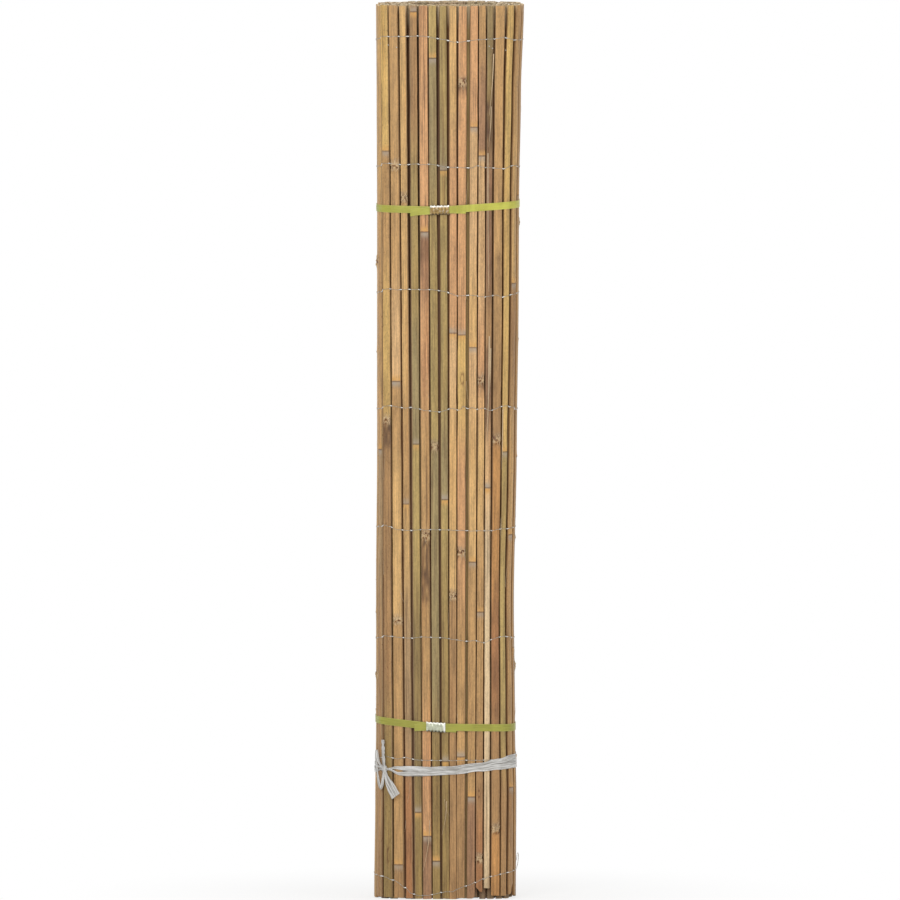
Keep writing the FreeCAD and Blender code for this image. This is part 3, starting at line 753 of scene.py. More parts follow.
class Slat:
    """Traits of one outer slat, from the tables or drawn at random."""

    def __init__(self, name, shape):
        bar = self.bar = BARS[name]
        count = self.count = front_number(name)
        self.shape = shape
        chance = random.Random(SLAT_DRAW + int(name[-2:]))
        self.seed = chance.uniform(0.0, SEED_SPAN)
        self.plan = FRONT_FINISH[count] if count else drawn_plan(chance)
        heights = sorted(bar.nodes + [place * HEIGHT for slat, place in EXTRA_NODES if slat == count])
        self.shares = [z / HEIGHT for z in heights]
        flips = [chance.choice((-1.0, 1.0)) for _ in heights]
        frayed = [chance.random() < 0.3 for _ in heights]
        if count:
            flips = [-1.0 if listed(AMBER_ABOVE, count, at) else 1.0 for at in self.shares]
            frayed = [listed(FRAYED, count, at) for at in self.shares]
        self.light = [1.0 + chance.uniform(-0.07, 0.07) * (0.3 if count else 1.0) for _ in range(5)]
        self.bevels = []
        for _ in range(2):
            part = chance.uniform(0.6, 1.0) if chance.random() < 0.35 else chance.uniform(0.0, 0.3)
            self.bevels.append(shape.bevel_low + (shape.bevel_high - shape.bevel_low) * part)
        vigour = [chance.uniform(0.8 if count else 0.55, 1.0) for _ in heights]
        self.nodes = list(zip(heights, flips, frayed, vigour))
        self.roll = math.radians(chance.uniform(-4.0, 4.0))
        self.streaky = chance.uniform(0.12, 0.50) + (0.35 if count in STREAKY else 0.0)
        self.specky = chance.uniform(0.12, 0.45) + (0.45 if count in SPECKY else 0.0)
        self.pale = chance.uniform(0.05, 0.6)
        tilt = chance.uniform(-0.8, 0.8)
        self.broken = BROKEN.get(count, ((-0.5, max(0.0, -tilt)), (0.5, max(0.0, tilt))))
        self.scars = [(place * HEIGHT, u * bar.width, wide * MM, tall * MM)
                      for slat, place, u, wide, tall in SCARS if slat == count]

    def levels(self):
        """Heights of the cross-sections, evenly spaced but closer round the nodes and scars."""
        low, high = self.bar.low, self.bar.high
        steps = int((high - low) / self.shape.station)
        found = {low, high, low + END_STEP, high - END_STEP}
        found.update(low + (high - low) * i / steps for i in range(1, steps))
        for z, *_ in self.nodes + self.scars:
            found = {level for level in found if abs(level - z) > NODE_ROOM}
            found.update(z + way * step for step in NODE_STEPS for way in (-1.0, 1.0))
        return sorted(z for z in found if low <= z <= high)

    def colour(self, at, colours):
        """Colour at a share of the height; it changes at a node, or slowly between."""
        colour = Vector(getattr(colours, self.plan[0][1]))
        for place, finish in self.plan[1:]:
            spread = 0.05
            node = min(self.shares, key=lambda n: abs(place - n), default=math.inf)
            if abs(place - node) < NODE_MATCH:
                place, spread = node, 0.0015
            colour = colour.lerp(Vector(getattr(colours, finish)), smooth(place - spread, place + spread, at))
        step = sum(1 for n in self.shares if at > n)
        return colour * self.light[step % len(self.light)]

    def marks(self, z):
        """Swelling of the skin at a height, and ridge, wax, amber, roughness and fray of the nodes."""
        swell = ridge = wax = amber = rough = fray = 0.0
        for height, flip, frayed, vigour in self.nodes:
            d = (z - height) * flip
            if abs(d) > NODE_REACH:
                continue
            clean = vigour * (0.35 if frayed else 1.0)
            swell += self.shape.node_rise * vigour * bell(d, 0.0017)
            swell += 0.0004 * bell(d, 0.009) - 0.0003 * bell(d - 0.0036, 0.0014)
            ridge = max(ridge, 0.85 * vigour * bell(d - 0.0008, 0.0009))
            wax = max(wax, clean * smooth(0.0, 0.0012, d) * (1.0 - smooth(0.004, 0.014, d)))
            amber = max(amber, clean * smooth(0.0, 0.0012, -d) * (1.0 - smooth(0.002, 0.013, -d)))
            rough = max(rough, bell(d, 0.012))
            if frayed:
                fray = max(fray, min(1.0, 1.5 * bell(d + 0.002, 0.0068)))
        return swell, ridge, wax, amber, rough, fray

    def section(self, z, swell, fray):
        """Outline at a height: across, out, share of skin and depth of shade at each corner."""
        seed, shape = self.seed, self.shape
        top = self.bar.thick - shape.rise
        half = self.bar.width / 2.0 + shape.spread
        edges = [edge_run(seed + k, z, shape.wander) for k in (0.0, 9.0)]
        slopes = [b * (1.0 + 0.45 * ripple(seed + 2.0 + i, z, 5.0)) for i, b in enumerate(self.bevels)]
        torn = [fray * smooth(-0.2, 0.5, ripple(seed + k, z, 300.0)) * 0.0012 for k in (31.0, 37.0)]
        left = -half + edges[0] + torn[0]
        right = half - edges[1] - torn[1]
        first, last = left + slopes[0], right - slopes[1]
        # Painted shade: full on the inner face and at the foot of the sides, less halfway up the sides
        corners = [(left, 0.0, 0.0, 1.0), (left + 0.25 * slopes[0], 0.5 * top, 0.0, 0.4),
                   (left + 0.75 * slopes[0], 0.92 * top, 0.0, 0.0)]
        for k in range(9):
            s = -1.0 + k / 4.0
            patch = noise.noise(Vector((seed, s * 1.7, z * 230.0)))
            worn = fray * smooth(-0.35, 0.05, patch)
            # The hollows of a frayed knot, and below the ring of each scar, are dented and darkened with
            # painted shade
            hollow = fray * smooth(0.05, 0.35, -patch)
            u = first + (last - first) * (s + 1.0) / 2.0
            for place, across, wide, tall in self.scars:
                ring = math.hypot((u - across) / wide, (z - place) / tall) - 1.0
                hollow = max(hollow, 0.85 * bell(ring, 0.3))
            v = top + shape.rise * (1.0 - s * s) + swell * (1.0 - 0.35 * s * s)
            v += shape.fray * fray * (0.35 + noise.noise(Vector((seed + 5.0, s * 3.1, z * 420.0))))
            corners.append((u, v - 0.0009 * hollow, 1.0 - worn, hollow))
        corners += [(right - 0.75 * slopes[1], 0.92 * top, 0.0, 0.0),
                    (right - 0.25 * slopes[1], 0.5 * top, 0.0, 0.4), (right, 0.0, 0.0, 1.0),
                    (right * 0.33, 0.0, 0.0, 1.0), (left * 0.33, 0.0, 0.0, 1.0)]
        return corners + corners[:1]


def build_slat(name, colours, shape):
    """One outer slat: split, sloped sides, rounded skin, raised nodes, frayed knots and ragged ends."""
    slat = Slat(name, shape)
    bar, seed, levels = slat.bar, slat.seed, slat.levels()
    middle = (bar.thick - shape.rise) / 2.0
    cos, sin = math.cos(slat.roll), math.sin(slat.roll)
    bm = bmesh.new()
    cane, marks, habit = (bm.verts.layers.float_color.new(key) for key in ("cane", "marks", "habit"))
    for row, (verts, z) in enumerate(zip(sheet(bm, SLAT_COLUMNS, len(levels) - 1), levels)):
        at = z / HEIGHT
        bend = 0.0007 * ripple(seed + 11.0, z, 1.6)
        sink = -0.0005 * (0.5 + 0.5 * ripple(seed + 13.0, z, 2.4))
        swell, ridge, wax, amber, rough, fray = slat.marks(z)
        base, stain = slat.colour(at, colours), stain_at(slat.count, at)
        foot = 1.0 - smooth(0.0, 0.030, z - bar.low)
        # Painted light on the top rim: near the head the painted shade fades out and the split sides turn
        # pale
        ends = smooth(0.0, 0.014, bar.high - z)
        for vert, (u, v, skin, depth) in zip(verts, slat.section(z, swell, fray)):
            across = u * cos - (v - middle) * sin
            out = middle + u * sin + (v - middle) * cos
            level = z + foot * read_stops(slat.broken, across / bar.width) * MM
            level += shape.ragged * ragged(row, len(levels) - 1, seed + 21.0, across, 900.0)
            vert.co = waisted(bar.at(across + bend, out + sink, level))
            blot = stain * (0.85 + 1.1 * noise.noise(Vector((seed, across * 260.0, z * 75.0))))
            hue = base.lerp(Vector(colours.umber), max(0.0, min(1.0, blot)))
            vert[cane] = (*hue, seed / SEED_SPAN)
            vert[marks] = (wax, amber, ridge * (1.0 - fray), skin)
            # Pale: own paleness, frayed fibres and painted light near the head; depth: painted shade, faded
            # out near the head
            vert[habit] = (slat.streaky, min(1.0, slat.specky + 0.6 * rough),
                           max(slat.pale, fray, 1.0 - ends), depth * ends)
    welded(bm, 1e-7, 1)
    return finished("bamboo_" + name, bm, (split_bamboo(colours), cut_bamboo(colours)), (name,))


def islands(mesh):
    """Groups of corner points of the separate bars in one solid mesh."""
    bm = bmesh.new()
    bm.from_mesh(mesh)
    bmesh.ops.remove_doubles(bm, verts=bm.verts, dist=1e-6)
    seen, found = set(), []
    for start in bm.verts:
        if start in seen:
            continue
        seen.add(start)
        group = [start]
        for vert in group:
            for edge in vert.link_edges:
                other = edge.other_vert(vert)
                if other not in seen:
                    seen.add(other)
                    group.append(other)
        found.append([v.co.copy() for v in group])
    bm.free()
    return sorted(found, key=lambda g: (round(g[0].x, 5), round(g[0].y, 5)))


def build_core(colours, shape):
    """All slats of the inner turns, plainer than the outer ones, with painted shade along their length and
    painted light near their ends.
    """
    bm = bmesh.new()
    cane = bm.verts.layers.float_color.new("cane")
    chance = random.Random(CORE_DRAW)
    bars = [Bar(points) for points in islands(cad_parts["inner_slats"].data)]
    lit_bars = [min((bar for bar in bars if abs(bar.foot.x - gap * MM) < 0.009), key=lambda bar: bar.foot.y)
                for gap in LIT_GAPS]
    dark, olive, cut = Vector(colours.dark), Vector(colours.olive), Vector(colours.cut)
    for bar in bars:
        seed = chance.uniform(0.0, SEED_SPAN)
        tone = Vector(getattr(colours, chance.choice(CORE_FINISHES))).lerp(Vector(colours.core), 0.35)
        tone *= chance.uniform(0.8, 1.1)
        # Painted shade along the inner slats: darkest just inside the outer turn, lifted to olive behind the
        # gaps that catch the light
        hidden = min((bar.foot.xy - other.foot.xy).length for other in TURN) < 0.017
        gloom = dark.lerp(olive, 0.85) if bar in lit_bars else dark.lerp(tone, 0.15 if hidden else 0.8)
        half, top = bar.width / 2.0, bar.thick
        slope = chance.uniform(0.0003, 0.0016)
        section = [(-half, 0.0), (-half + slope, 0.8 * top), (-0.5 * half, top), (0.5 * half, top),
                   (half - slope, 0.8 * top), (half, 0.0), (0.0, 0.0), (-half, 0.0)]
        levels = [bar.low + step for step in (0.0, 0.02, 0.05, 0.5)]
        levels += [bar.high - step for step in (0.5, 0.04, 0.012, 0.0)]
        last = len(levels) - 1
        for row, (verts, z) in enumerate(zip(sheet(bm, len(section) - 1, last), levels)):
            # Painted light near the head and, less, near the foot, toward a paler tone mixed with the cut
            # colour
            lit = 1.0 - smooth(0.0, 0.04, bar.high - z) + 0.35 * (1.0 - smooth(0.0, 0.03, z - bar.low))
            shade = gloom.lerp(tone.lerp(cut, 0.4), lit)
            drift = 0.0006 * ripple(seed, z, 3.0)
            for vert, (u, v) in zip(verts, section):
                level = z + shape.ragged * ragged(row, last, seed + 2.0, u, 700.0)
                vert.co = waisted(bar.at(u * 0.985 + drift, v, level))
                vert[cane] = (*shade, seed / SEED_SPAN)
    welded(bm, 1e-6, 1)
    return finished("bamboo_core", bm, (core_bamboo(colours), cut_bamboo(colours)),
                    ("inner_slats",), 30.0)


def curved(lines, smoothness, radius=0.0, sides=0):
    """Mesh of smooth curves through control points, each with its own share of the radius."""
    curve = bpy.data.curves.new("strands", "CURVE")
    curve.dimensions = "3D"
    curve.resolution_u = smoothness
    curve.bevel_depth = radius
    curve.bevel_resolution = sides
    curve.use_fill_caps = True
    for points in lines:
        spline = curve.splines.new("NURBS")
        spline.points.add(len(points) - 1)
        for knot, (point, girth) in zip(spline.points, points):
            knot.co = (*point, 1.0)
            knot.radius = girth
        spline.order_u = 3
        spline.use_endpoint_u = True
    holder = bpy.data.objects.new("strands", curve)
    mesh = bpy.data.meshes.new_from_object(holder)
    bpy.data.objects.remove(holder)
    bpy.data.curves.remove(curve)
    return mesh


def stranded(name, lines, radius, sides, look, nodes):
    """Piece of round strands, with the share of the radius kept at each point."""
    mesh = curved(lines, 3, radius, sides)
    mesh.name = name
    mesh.shade_smooth()
    knots = [knot for points in lines for knot in points]
    tree = kdtree.KDTree(len(knots))
    for i, (point, _) in enumerate(knots):
        tree.insert(point, i)
    tree.balance()
    girth = mesh.attributes.new("girth", "FLOAT", "POINT")
    girth.data.foreach_set("value", [knots[tree.find(vertex.co)[1]][1] for vertex in mesh.vertices])
    mesh.materials.append(look)
    return placed(name, mesh, nodes)


def wire_level(name, bar):
    """Height of a wire row where it crosses a slat, read from its solid."""
    found = []
    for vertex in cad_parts[name].data.vertices:
        place = bar.at(0.0, bar.thick, vertex.co.z)
        found.append(((vertex.co.xy - place.xy).length, vertex.co.z))
    nearest = sorted(found)[:6]
    return sum(z for _, z in nearest) / len(nearest)


def loose_loop():
    """Spare end of the lowest wire, bent into a small loop at the right edge."""
    bar = BARS["slat_14"]
    return [(waisted(bar.at(u * bar.width, bar.thick + out * MM, z)), 1.0) for u, out, z in WIRE_LOOP]


def loose_end(path, x, z):
    """Short end of the upper wire that stands off the front."""
    point, out = path.read(path.front(x * MM))
    return [(waisted(point + out * lift * MM + Vector((side * MM, 0.0, z * MM + rise * MM))), 1.3)
            for lift, side, rise in ((-1.0, -0.6, 0.5), (0.5, 0.0, 0.0), (-0.6, 0.7, -0.4))]


def build_wire(name, looks, shape):
    """One wire row: two strands that pass before and behind each slat and twist between."""
    number = int(name[-1])
    chance = random.Random(WIRE_DRAW + number)
    radius = looks.wire_radius
    lines = [[], []]
    heights = [wire_level(name, bar) for bar in TURN]

    def row_at(i, u):
        """Height of the row at a place across a slat."""
        other = max(0, min(len(heights) - 1, i + (1 if u > 0.0 else -1)))
        level = heights[i] + (heights[other] - heights[i]) * abs(u)
        place = TURN[i].at(u * TURN[i].width, 0.0, level)
        front = smooth(-0.2, -0.75, TURN[i].out.y)
        wavy = read_stops(WAVES[number], place.x / MM) * MM * front if number in WAVES else 0.0
        return level + wavy + 0.0018 * ripple(number * 3.1, i + u, 0.9) * (1.0 - 0.6 * front)

    for i, bar in enumerate(TURN):
        top = bar.thick - shape.rise
        front, back = lines[i % 2], lines[1 - i % 2]
        for u, v in ((-0.42, top + 0.0004), (-0.2, bar.thick - 0.0002), (0.0, bar.thick),
                     (0.2, bar.thick - 0.0002), (0.42, top + 0.0004)):
            level = row_at(i, u) + chance.uniform(-0.0004, 0.0004)
            front.append((waisted(bar.at(u * bar.width, v + radius * 0.8, level)), 0.76))
        for u in (-0.36, 0.36):
            back.append((waisted(bar.at(u * bar.width, -radius, row_at(i, u))), 1.0))
        if i + 1 < len(TURN):
            after = TURN[i + 1]
            near = bar.at(0.47 * bar.width, 0.75 * top, row_at(i, 0.5))
            far = after.at(-0.47 * after.width, 0.75 * top, row_at(i + 1, -0.5))
            out = (bar.out + after.out).normalized()
            turns = chance.uniform(1.1, 1.7)
            # The twist is drawn thicker, which also gives it the painted glint of the wire material
            for step in range(4):
                part = (step + 0.5) / 4.0
                phase = math.pi * turns * part
                middle = near.lerp(far, part)
                swing = (out * math.cos(phase) + Vector((0.0, 0.0, math.sin(phase)))) * radius * 1.4
                front.append((waisted(middle + swing), 1.3))
                back.append((waisted(middle - swing), 1.3))
    if number == 1:
        lines.append(loose_loop())
    if number == len(WIRE_NAMES):
        path = Girth(heights[0], shape.rise)
        lines += [loose_end(path, x, z) for x, z in WIRE_ENDS]
    return stranded("wire_row_%d" % number, lines, radius, 1, galvanised(looks), (name,))


def hull(points):
    """Convex outline of plan points, anticlockwise."""
    chains = []
    points = sorted(set(points))
    for order in (points, points[::-1]):
        chain = []
        for p in order:
            while len(chain) > 1:
                (ax, ay), (bx, by) = chain[-2], chain[-1]
                if (bx - ax) * (p[1] - ay) - (by - ay) * (p[0] - ax) > 1e-12:
                    break
                chain.pop()
            chain.append(p)
        chains.append(chain[:-1])
    return chains[0] + chains[1]


class Girth:
    """Convex path round the outer turn at a height, walked leftward across the front."""

    def __init__(self, height, rise, extra=()):
        points = list(extra)
        for bar in TURN:
            for u, v in ((-0.5, bar.thick - rise), (0.0, bar.thick), (0.5, bar.thick - rise)):
                p = bar.at(u * bar.width, v, height)
                points.append((p.x, p.y))
        ring = [Vector((x, y, 0.0)) for x, y in hull(points)[::-1]]
        self.sides = list(zip(ring, ring[1:] + ring[:1]))
        self.walk = [0.0]
        for a, b in self.sides:
            self.walk.append(self.walk[-1] + (b - a).length)
        self.total = self.walk[-1]

    def read(self, distance):
        """Point and outward direction at a distance along the path."""
        distance %= self.total
        for (a, b), start, stop in zip(self.sides, self.walk, self.walk[1:]):
            if start <= distance <= stop:
                way = (b - a).normalized()
                return a + way * (distance - start), Vector((-way.y, way.x, 0.0))
        raise ValueError("no such place on the path")

    def front(self, x):
        """Distance along the path of a place on the front."""
        for (a, b), start in zip(self.sides, self.walk):
            if b.x <= x <= a.x and a.y + b.y < 0.0 and a.x > b.x:
                return start + (x - a.x) / (b.x - a.x) * (b - a).length
        raise ValueError("the path has no front at this place")

    def places(self, start, stop):
        """Distances of the corners between two places, eased on both sides of each corner."""
        found = [start]
        for lap in range(3):
            for corner in self.walk[:-1]:
                for ease in (-0.0016, -0.0005, 0.0005, 0.0016):
                    d = corner + lap * self.total + ease
                    if start + 0.0004 < d < stop - 0.0004:
                        found.append(d)
        return sorted(found) + [stop]

    def eased(self, distance):
        """Point and direction, averaged over a short stretch so that the bends are soft."""
        reads = [self.read(distance + k * 0.0007) for k in (-2, -1, 0, 1, 2)]
        middle = sum((point for point, _ in reads), Vector()) / len(reads)
        return middle, sum((out for _, out in reads), Vector()).normalized()


# Straps: seal place, ends of the strap right and left of it (mm), slopes to the left and right
STRAP_RUNS = {
    "upper": (-15.0, 29.0, -64.0, -0.02, 0.065),
    "lower": (-21.5, 13.0, -57.0, -0.115, -0.015),
}
# Brightness of each strap, and how much brighter painted sheen makes it right of its seal
STRAP_TONES = {"upper": (1.0, 0.32), "lower": (0.84, 0.0)}
# Seals: length and height, wall of the solid and of the fold, and the random draws of their crimps
SEAL_LONG, SEAL_TALL = 0.0318, 0.0166
SEAL_WALL, SEAL_SHEET = 0.9 * MM, 0.6 * MM
SEAL_DRAWS = {"upper": 502, "lower": 501}


def build_strap(which, looks, shape):
    """Flat embossed strap round the roll, its two ends lapped through the seal."""
    seal_x, inner_end, outer_end = (place * MM for place in STRAP_RUNS[which][:3])
    left_slope, right_slope = STRAP_RUNS[which][3:]
    shade, sheen = STRAP_TONES[which]
    low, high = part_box(which + "_seal")
    middle = (low[2] + high[2]) / 2.0
    edge = high[1] - SEAL_WALL
    path = Girth(middle, shape.rise, ((seal_x - 0.016, edge), (seal_x + 0.016, edge)))
    side = CAD_BOX[1][0] - 0.006

    def level(point, lap):
        """Height of the strap's middle at a point of its path."""
        if point.y > 0.0:
            first, last = middle + left_slope * (-side - seal_x), middle + right_slope * (side - seal_x)
            return first + smooth(-side, side, point.x) * (last - first)
        slope = left_slope if point.x < seal_x and not lap else right_slope
        return middle + slope * (point.x - seal_x)

    start = path.front(inner_end)
    stop = path.front(outer_end) + path.total
    lap_start = path.front(inner_end + 0.010) + path.total
    lap_full = path.front(inner_end + 0.002) + path.total
    thick, half, corner = looks.strap_thickness, looks.strap_width / 2.0, 0.18 * MM
    rim = [(0.0, half - corner), (corner, half), (thick - corner, half), (thick, half - corner)]
    section = [(depth, -across) for depth, across in rim] + [(thick * 1.06, 0.0)] + rim[::-1]
    section.append(section[0])
    distances = path.places(start, stop)
    bm = bmesh.new()
    run = bm.verts.layers.float_vector.new("run")
    for verts, distance in zip(sheet(bm, len(section) - 1, len(distances) - 1), distances):
        point, out = path.eased(distance)
        rise = 0.15 * MM + smooth(lap_start, lap_full, distance) * (thick + 0.12 * MM)
        # Painted sheen brightens the upper strap right of its seal
        lit = shade * (1.0 + sheen * smooth(seal_x + 0.012, seal_x + 0.036, point.x))
        droop = smooth(stop - 0.012, stop, distance) * 0.0014
        droop += (1.0 - smooth(start + 0.010, start + 0.034, distance)) * 0.0026
        z = level(point, distance > lap_start)
        for vert, (depth, across) in zip(verts, section):
            place = point + out * (rise + depth)
            place.z = z + across - droop
            vert.co = waisted(place)
            vert[run] = (distance - start, across, lit)
    welded(bm, 1e-7, 0)
    return finished(which + "_strap_band", bm, (strap_plastic(looks),), (which + "_strap",), 35.0)


def build_seal(which, looks):
    """Folded steel seal, crimped over the strap by five bites along each edge."""
    seal_x, _, _, left_slope, right_slope = STRAP_RUNS[which]
    low, high = (Vector(corner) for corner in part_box(which + "_seal"))
    middle = (low + high) / 2.0
    middle.x = seal_x * MM
    slope = (left_slope + right_slope) / 2.0
    deep = high.y - low.y
    lower = which == "lower"
    chance = random.Random(SEAL_DRAWS[which])
    columns, rows = 32, 60
    bm = bmesh.new()
    run = bm.verts.layers.float_vector.new("run")
    crimps = [(CRIMP_STEP * k + chance.uniform(-0.0005, 0.0005), chance.uniform(0.7, 1.1))
              for k in (-2, -1, 0, 1, 2)]
    for row, verts in enumerate(sheet(bm, columns, rows)):
        x = -SEAL_LONG / 2.0 + SEAL_LONG * row / rows
        bite = max(max(0.0, 1.0 - abs(x - place) / 0.0026) * strength for place, strength in crimps)
        for column, vert in enumerate(verts):
            turn = 2.0 * math.pi * column / columns
            c, s = math.cos(turn), math.sin(turn)
            z = SEAL_TALL / 2.0 * math.copysign(abs(s) ** 0.4, s)
            y = -deep / 2.0 * math.copysign(abs(c) ** 0.35, c)
            rim = smooth(0.0034, 0.0072, abs(z))
            z -= math.copysign(0.0011 * bite * rim, z)
            if y < 0.0:
                y += 0.0010 * bite * rim - 0.0004 * (1.0 - bite) * rim
                y += 0.0004 * noise.noise(Vector((x * 210.0, z * 200.0, 3.0 if lower else 8.0)))
            vert.co = waisted(Vector((middle.x + x, middle.y + y, middle.z + z + slope * x)))
            vert[run] = (x, z, 0.2 + 0.75 * smooth(0.011, 0.015, x) if lower else 0.0)
    bmesh.ops.remove_doubles(bm, verts=bm.verts, dist=1e-7)
    bmesh.ops.recalc_face_normals(bm, faces=bm.faces)
    bmesh.ops.solidify(bm, geom=list(bm.faces), thickness=SEAL_SHEET)
    bmesh.ops.recalc_face_normals(bm, faces=bm.faces)
    return finished(which + "_seal_fold", bm, (seal_steel(looks),), (which + "_seal",), 50.0)


def film(bm, run, stations, columns, seed, crumple):
    """Strip of crumpled film: stations hold middle, across, facing, width and twist."""
    walked, before = 0.0, stations[0][0]
    for verts, (middle, across, facing, width, twist) in zip(sheet(bm, columns, len(stations) - 1), stations):
        walked += (middle - before).length
        before = middle
        wide = across * math.cos(twist) + facing * math.sin(twist)
        face = facing * math.cos(twist) - across * math.sin(twist)
        ruck = noise.noise(Vector((seed + 4.0, walked * 45.0, 0.0)))
        for column, vert in enumerate(verts):
            c = -1.0 + 2.0 * column / columns
            fold = noise.noise(Vector((seed, walked * 22.0, c * 2.6)))
            fold += 0.6 * noise.noise(Vector((seed + 9.0, walked * 70.0, c * 5.0)))
            vert.co = middle + wide * (c * width / 2.0 * (1.0 + 0.16 * ruck)) + face * crumple * (fold + 0.9)
            vert[run] = (walked, c * width / 2.0 + seed * 0.01, seed)


def eased_line(points, count):
    """Points along a smooth curve through control points."""
    mesh = curved([[(point, 1.0) for point in points]], max(2, count // max(1, len(points) - 1)))
    line = [vertex.co.copy() for vertex in mesh.vertices]
    bpy.data.meshes.remove(mesh)
    return line


# Tie tape: heights (mm) of its three strands against place across the front (mm), and their widths (m)
STRANDS = (
    ((-112, 224.0), (-98, 223.0), (-73, 220.0), (-31, 218.5), (2, 219.5), (53, 225.5), (86, 231.5),
     (112, 237.0)),
    ((-112, 223.0), (-98, 222.0), (-73, 219.0), (-45, 216.5), (-31, 215.5), (2, 217.0), (53, 222.5),
     (86, 227.5), (112, 231.0)),
    ((-112, 215.0), (-98, 213.5), (-84, 211.0), (-50, 211.0), (-31, 212.0), (2, 213.5), (53, 219.0),
     (86, 222.5), (112, 224.5)),
)
STRAND_WIDTHS = (0.0080, 0.0064, 0.0084)
STRAND_STEPS = 260
# Tails and bow in the plane of the knot: across, up, off the roll, width (mm)
UP_TAIL = ((0.0, 1.0, 3.0, 5.0), (-1.0, 14.0, 4.2, 5.5), (-2.5, 30.0, 3.6, 6.0), (-3.0, 42.0, 3.4, 6.2),
           (-3.0, 49.0, 4.0, 5.0))
FAN_TAIL = ((0.0, -1.0, 3.4, 6.0), (3.5, -10.0, 5.2, 9.0), (12.0, -27.0, 4.8, 15.0), (23.0, -45.0, 4.2, 21.0))
BOW = ((0.0, 1.0, 3.0, 4.5), (-5.0, 4.0, 4.6, 4.0), (-11.0, 12.0, 4.0, 4.5), (-15.0, 22.0, 3.0, 5.0),
       (-17.0, 34.0, 2.6, 4.5), (-17.0, 18.0, 3.0, 5.0), (-14.5, -2.0, 3.4, 5.0), (-11.0, -22.0, 3.8, 5.0),
       (-6.5, -34.5, 4.2, 4.5), (-2.5, -28.0, 4.6, 5.0), (-1.0, -14.0, 4.8, 5.0), (0.0, -2.0, 4.0, 4.5))
SPARE = ((-1.0, 1.0, 4.0, 2.0), (-5.0, 3.5, 5.0, 2.2), (-10.0, 3.5, 4.5, 2.0), (-13.0, 4.5, 3.5, 1.5))
# Each tail with its seed, columns and crumple (mm)
TAILS = ((UP_TAIL, 3.0, 5, 0.6), (FAN_TAIL, 4.0, 9, 0.25), (BOW, 5.0, 5, 0.6), (SPARE, 6.0, 3, 0.6))
# Height and place across the front of the knot, and the thickness of the film
KNOT_HEIGHT, KNOT_PLACE = 0.143 * HEIGHT + 0.004, -0.1017
FILM_THICKNESS = 0.00012
UP = Vector((0.0, 0.0, 1.0))


def band_stations(path, knot_at, seed, strand, width):
    """Stations of one strand of the tape, from one side of the knot round the roll to the other."""
    start, stop = knot_at + 0.003, knot_at + path.total - 0.003
    stations = []
    for i in range(STRAND_STEPS + 1):
        distance = start + (stop - start) * i / STRAND_STEPS
        point, facing = path.eased(distance)
        if point.y < 0.0:
            z = read_stops(strand, point.x / MM, smooth) * MM
        else:
            part = smooth(-0.11, 0.12, point.x)
            z = (strand[0][1] * (1.0 - part) + strand[-1][1] * part) * MM
        close = min(i, STRAND_STEPS - i) * (stop - start) / STRAND_STEPS
        z += (KNOT_HEIGHT - z) * (1.0 - smooth(0.0, 0.020, close))
        gather = 0.38 + 0.62 * smooth(0.004, 0.036, close)
        wide = width * gather * (1.0 + 0.30 * smooth(0.05, 0.115, point.x))
        middle = waisted(Vector((point.x, point.y, z)) + facing * 0.3 * MM * seed)
        twist = 0.35 * noise.noise(Vector((seed, distance * 9.0, 3.0)))
        stations.append((middle, UP, facing, wide, twist * 0.35))
    return stations


def tail_stations(spots, out, widths, seed, crumple):
    """Stations of a tail or a bow through its spots, facing away from the roll."""
    line = eased_line(spots, 60)
    stations = []
    for i, middle in enumerate(line):
        t = i / (len(line) - 1) * (len(widths) - 1)
        k = min(int(t), len(widths) - 2)
        wide = (widths[k] + (widths[k + 1] - widths[k]) * (t - k)) * MM
        way = (line[min(i + 1, len(line) - 1)] - line[max(i - 1, 0)]).normalized()
        sideways = out.cross(way).normalized()
        facing = way.cross(sideways).normalized()
        if facing.dot(out) < 0.0:
            facing, sideways = -facing, -sideways
        twist = crumple * 0.8 * noise.noise(Vector((seed, i * 0.12, 1.0)))
        stations.append((middle, sideways, facing, wide, twist))
    return stations


def build_tape(looks, shape):
    """Band of three gathered strands of film, with knot, bow loop and tails on the left."""
    bm = bmesh.new()
    run = bm.verts.layers.float_vector.new("run")
    path = Girth(KNOT_HEIGHT, shape.rise)
    knot_at = path.front(KNOT_PLACE)
    knot, out = path.read(knot_at)
    across = Vector((-out.y, out.x, 0.0))
    for seed, (strand, width) in enumerate(zip(STRANDS, STRAND_WIDTHS), 1):
        film(bm, run, band_stations(path, knot_at, seed, strand, width), 8, float(seed), 0.00045)
    for tail, seed, columns, crumple in TAILS:
        spots = [waisted(knot + across * (u * MM) + out * (d * MM) + UP * (KNOT_HEIGHT + z * MM))
                 for u, z, d, _ in tail]
        stations = tail_stations(spots, out, [row[3] for row in tail], seed, crumple)
        film(bm, run, stations, columns, seed, crumple * MM)
    bmesh.ops.recalc_face_normals(bm, faces=bm.faces)
    bmesh.ops.solidify(bm, geom=list(bm.faces), thickness=FILM_THICKNESS)
    for vert in bmesh.ops.create_uvsphere(bm, u_segments=28, v_segments=18, radius=1.0)["verts"]:
        p = vert.co.copy()
        p *= 1.0 + 0.22 * noise.noise(p * 2.4) + 0.14 * noise.noise(Vector((p.x * 3.0, p.y * 3.0, p.z * 9.0)))
        vert.co = waisted(knot + across * (p.x * 0.0052) + out * (0.0030 + p.y * 0.0028)
                          + UP * (KNOT_HEIGHT + p.z * 0.0062))
        vert[run] = (p.z * 0.006, p.x * 0.005, 7.0)
    bmesh.ops.recalc_face_normals(bm, faces=bm.faces)
    return finished("tie_tape_film", bm, (tape_film(looks),), ("tie_tape",), 80.0)


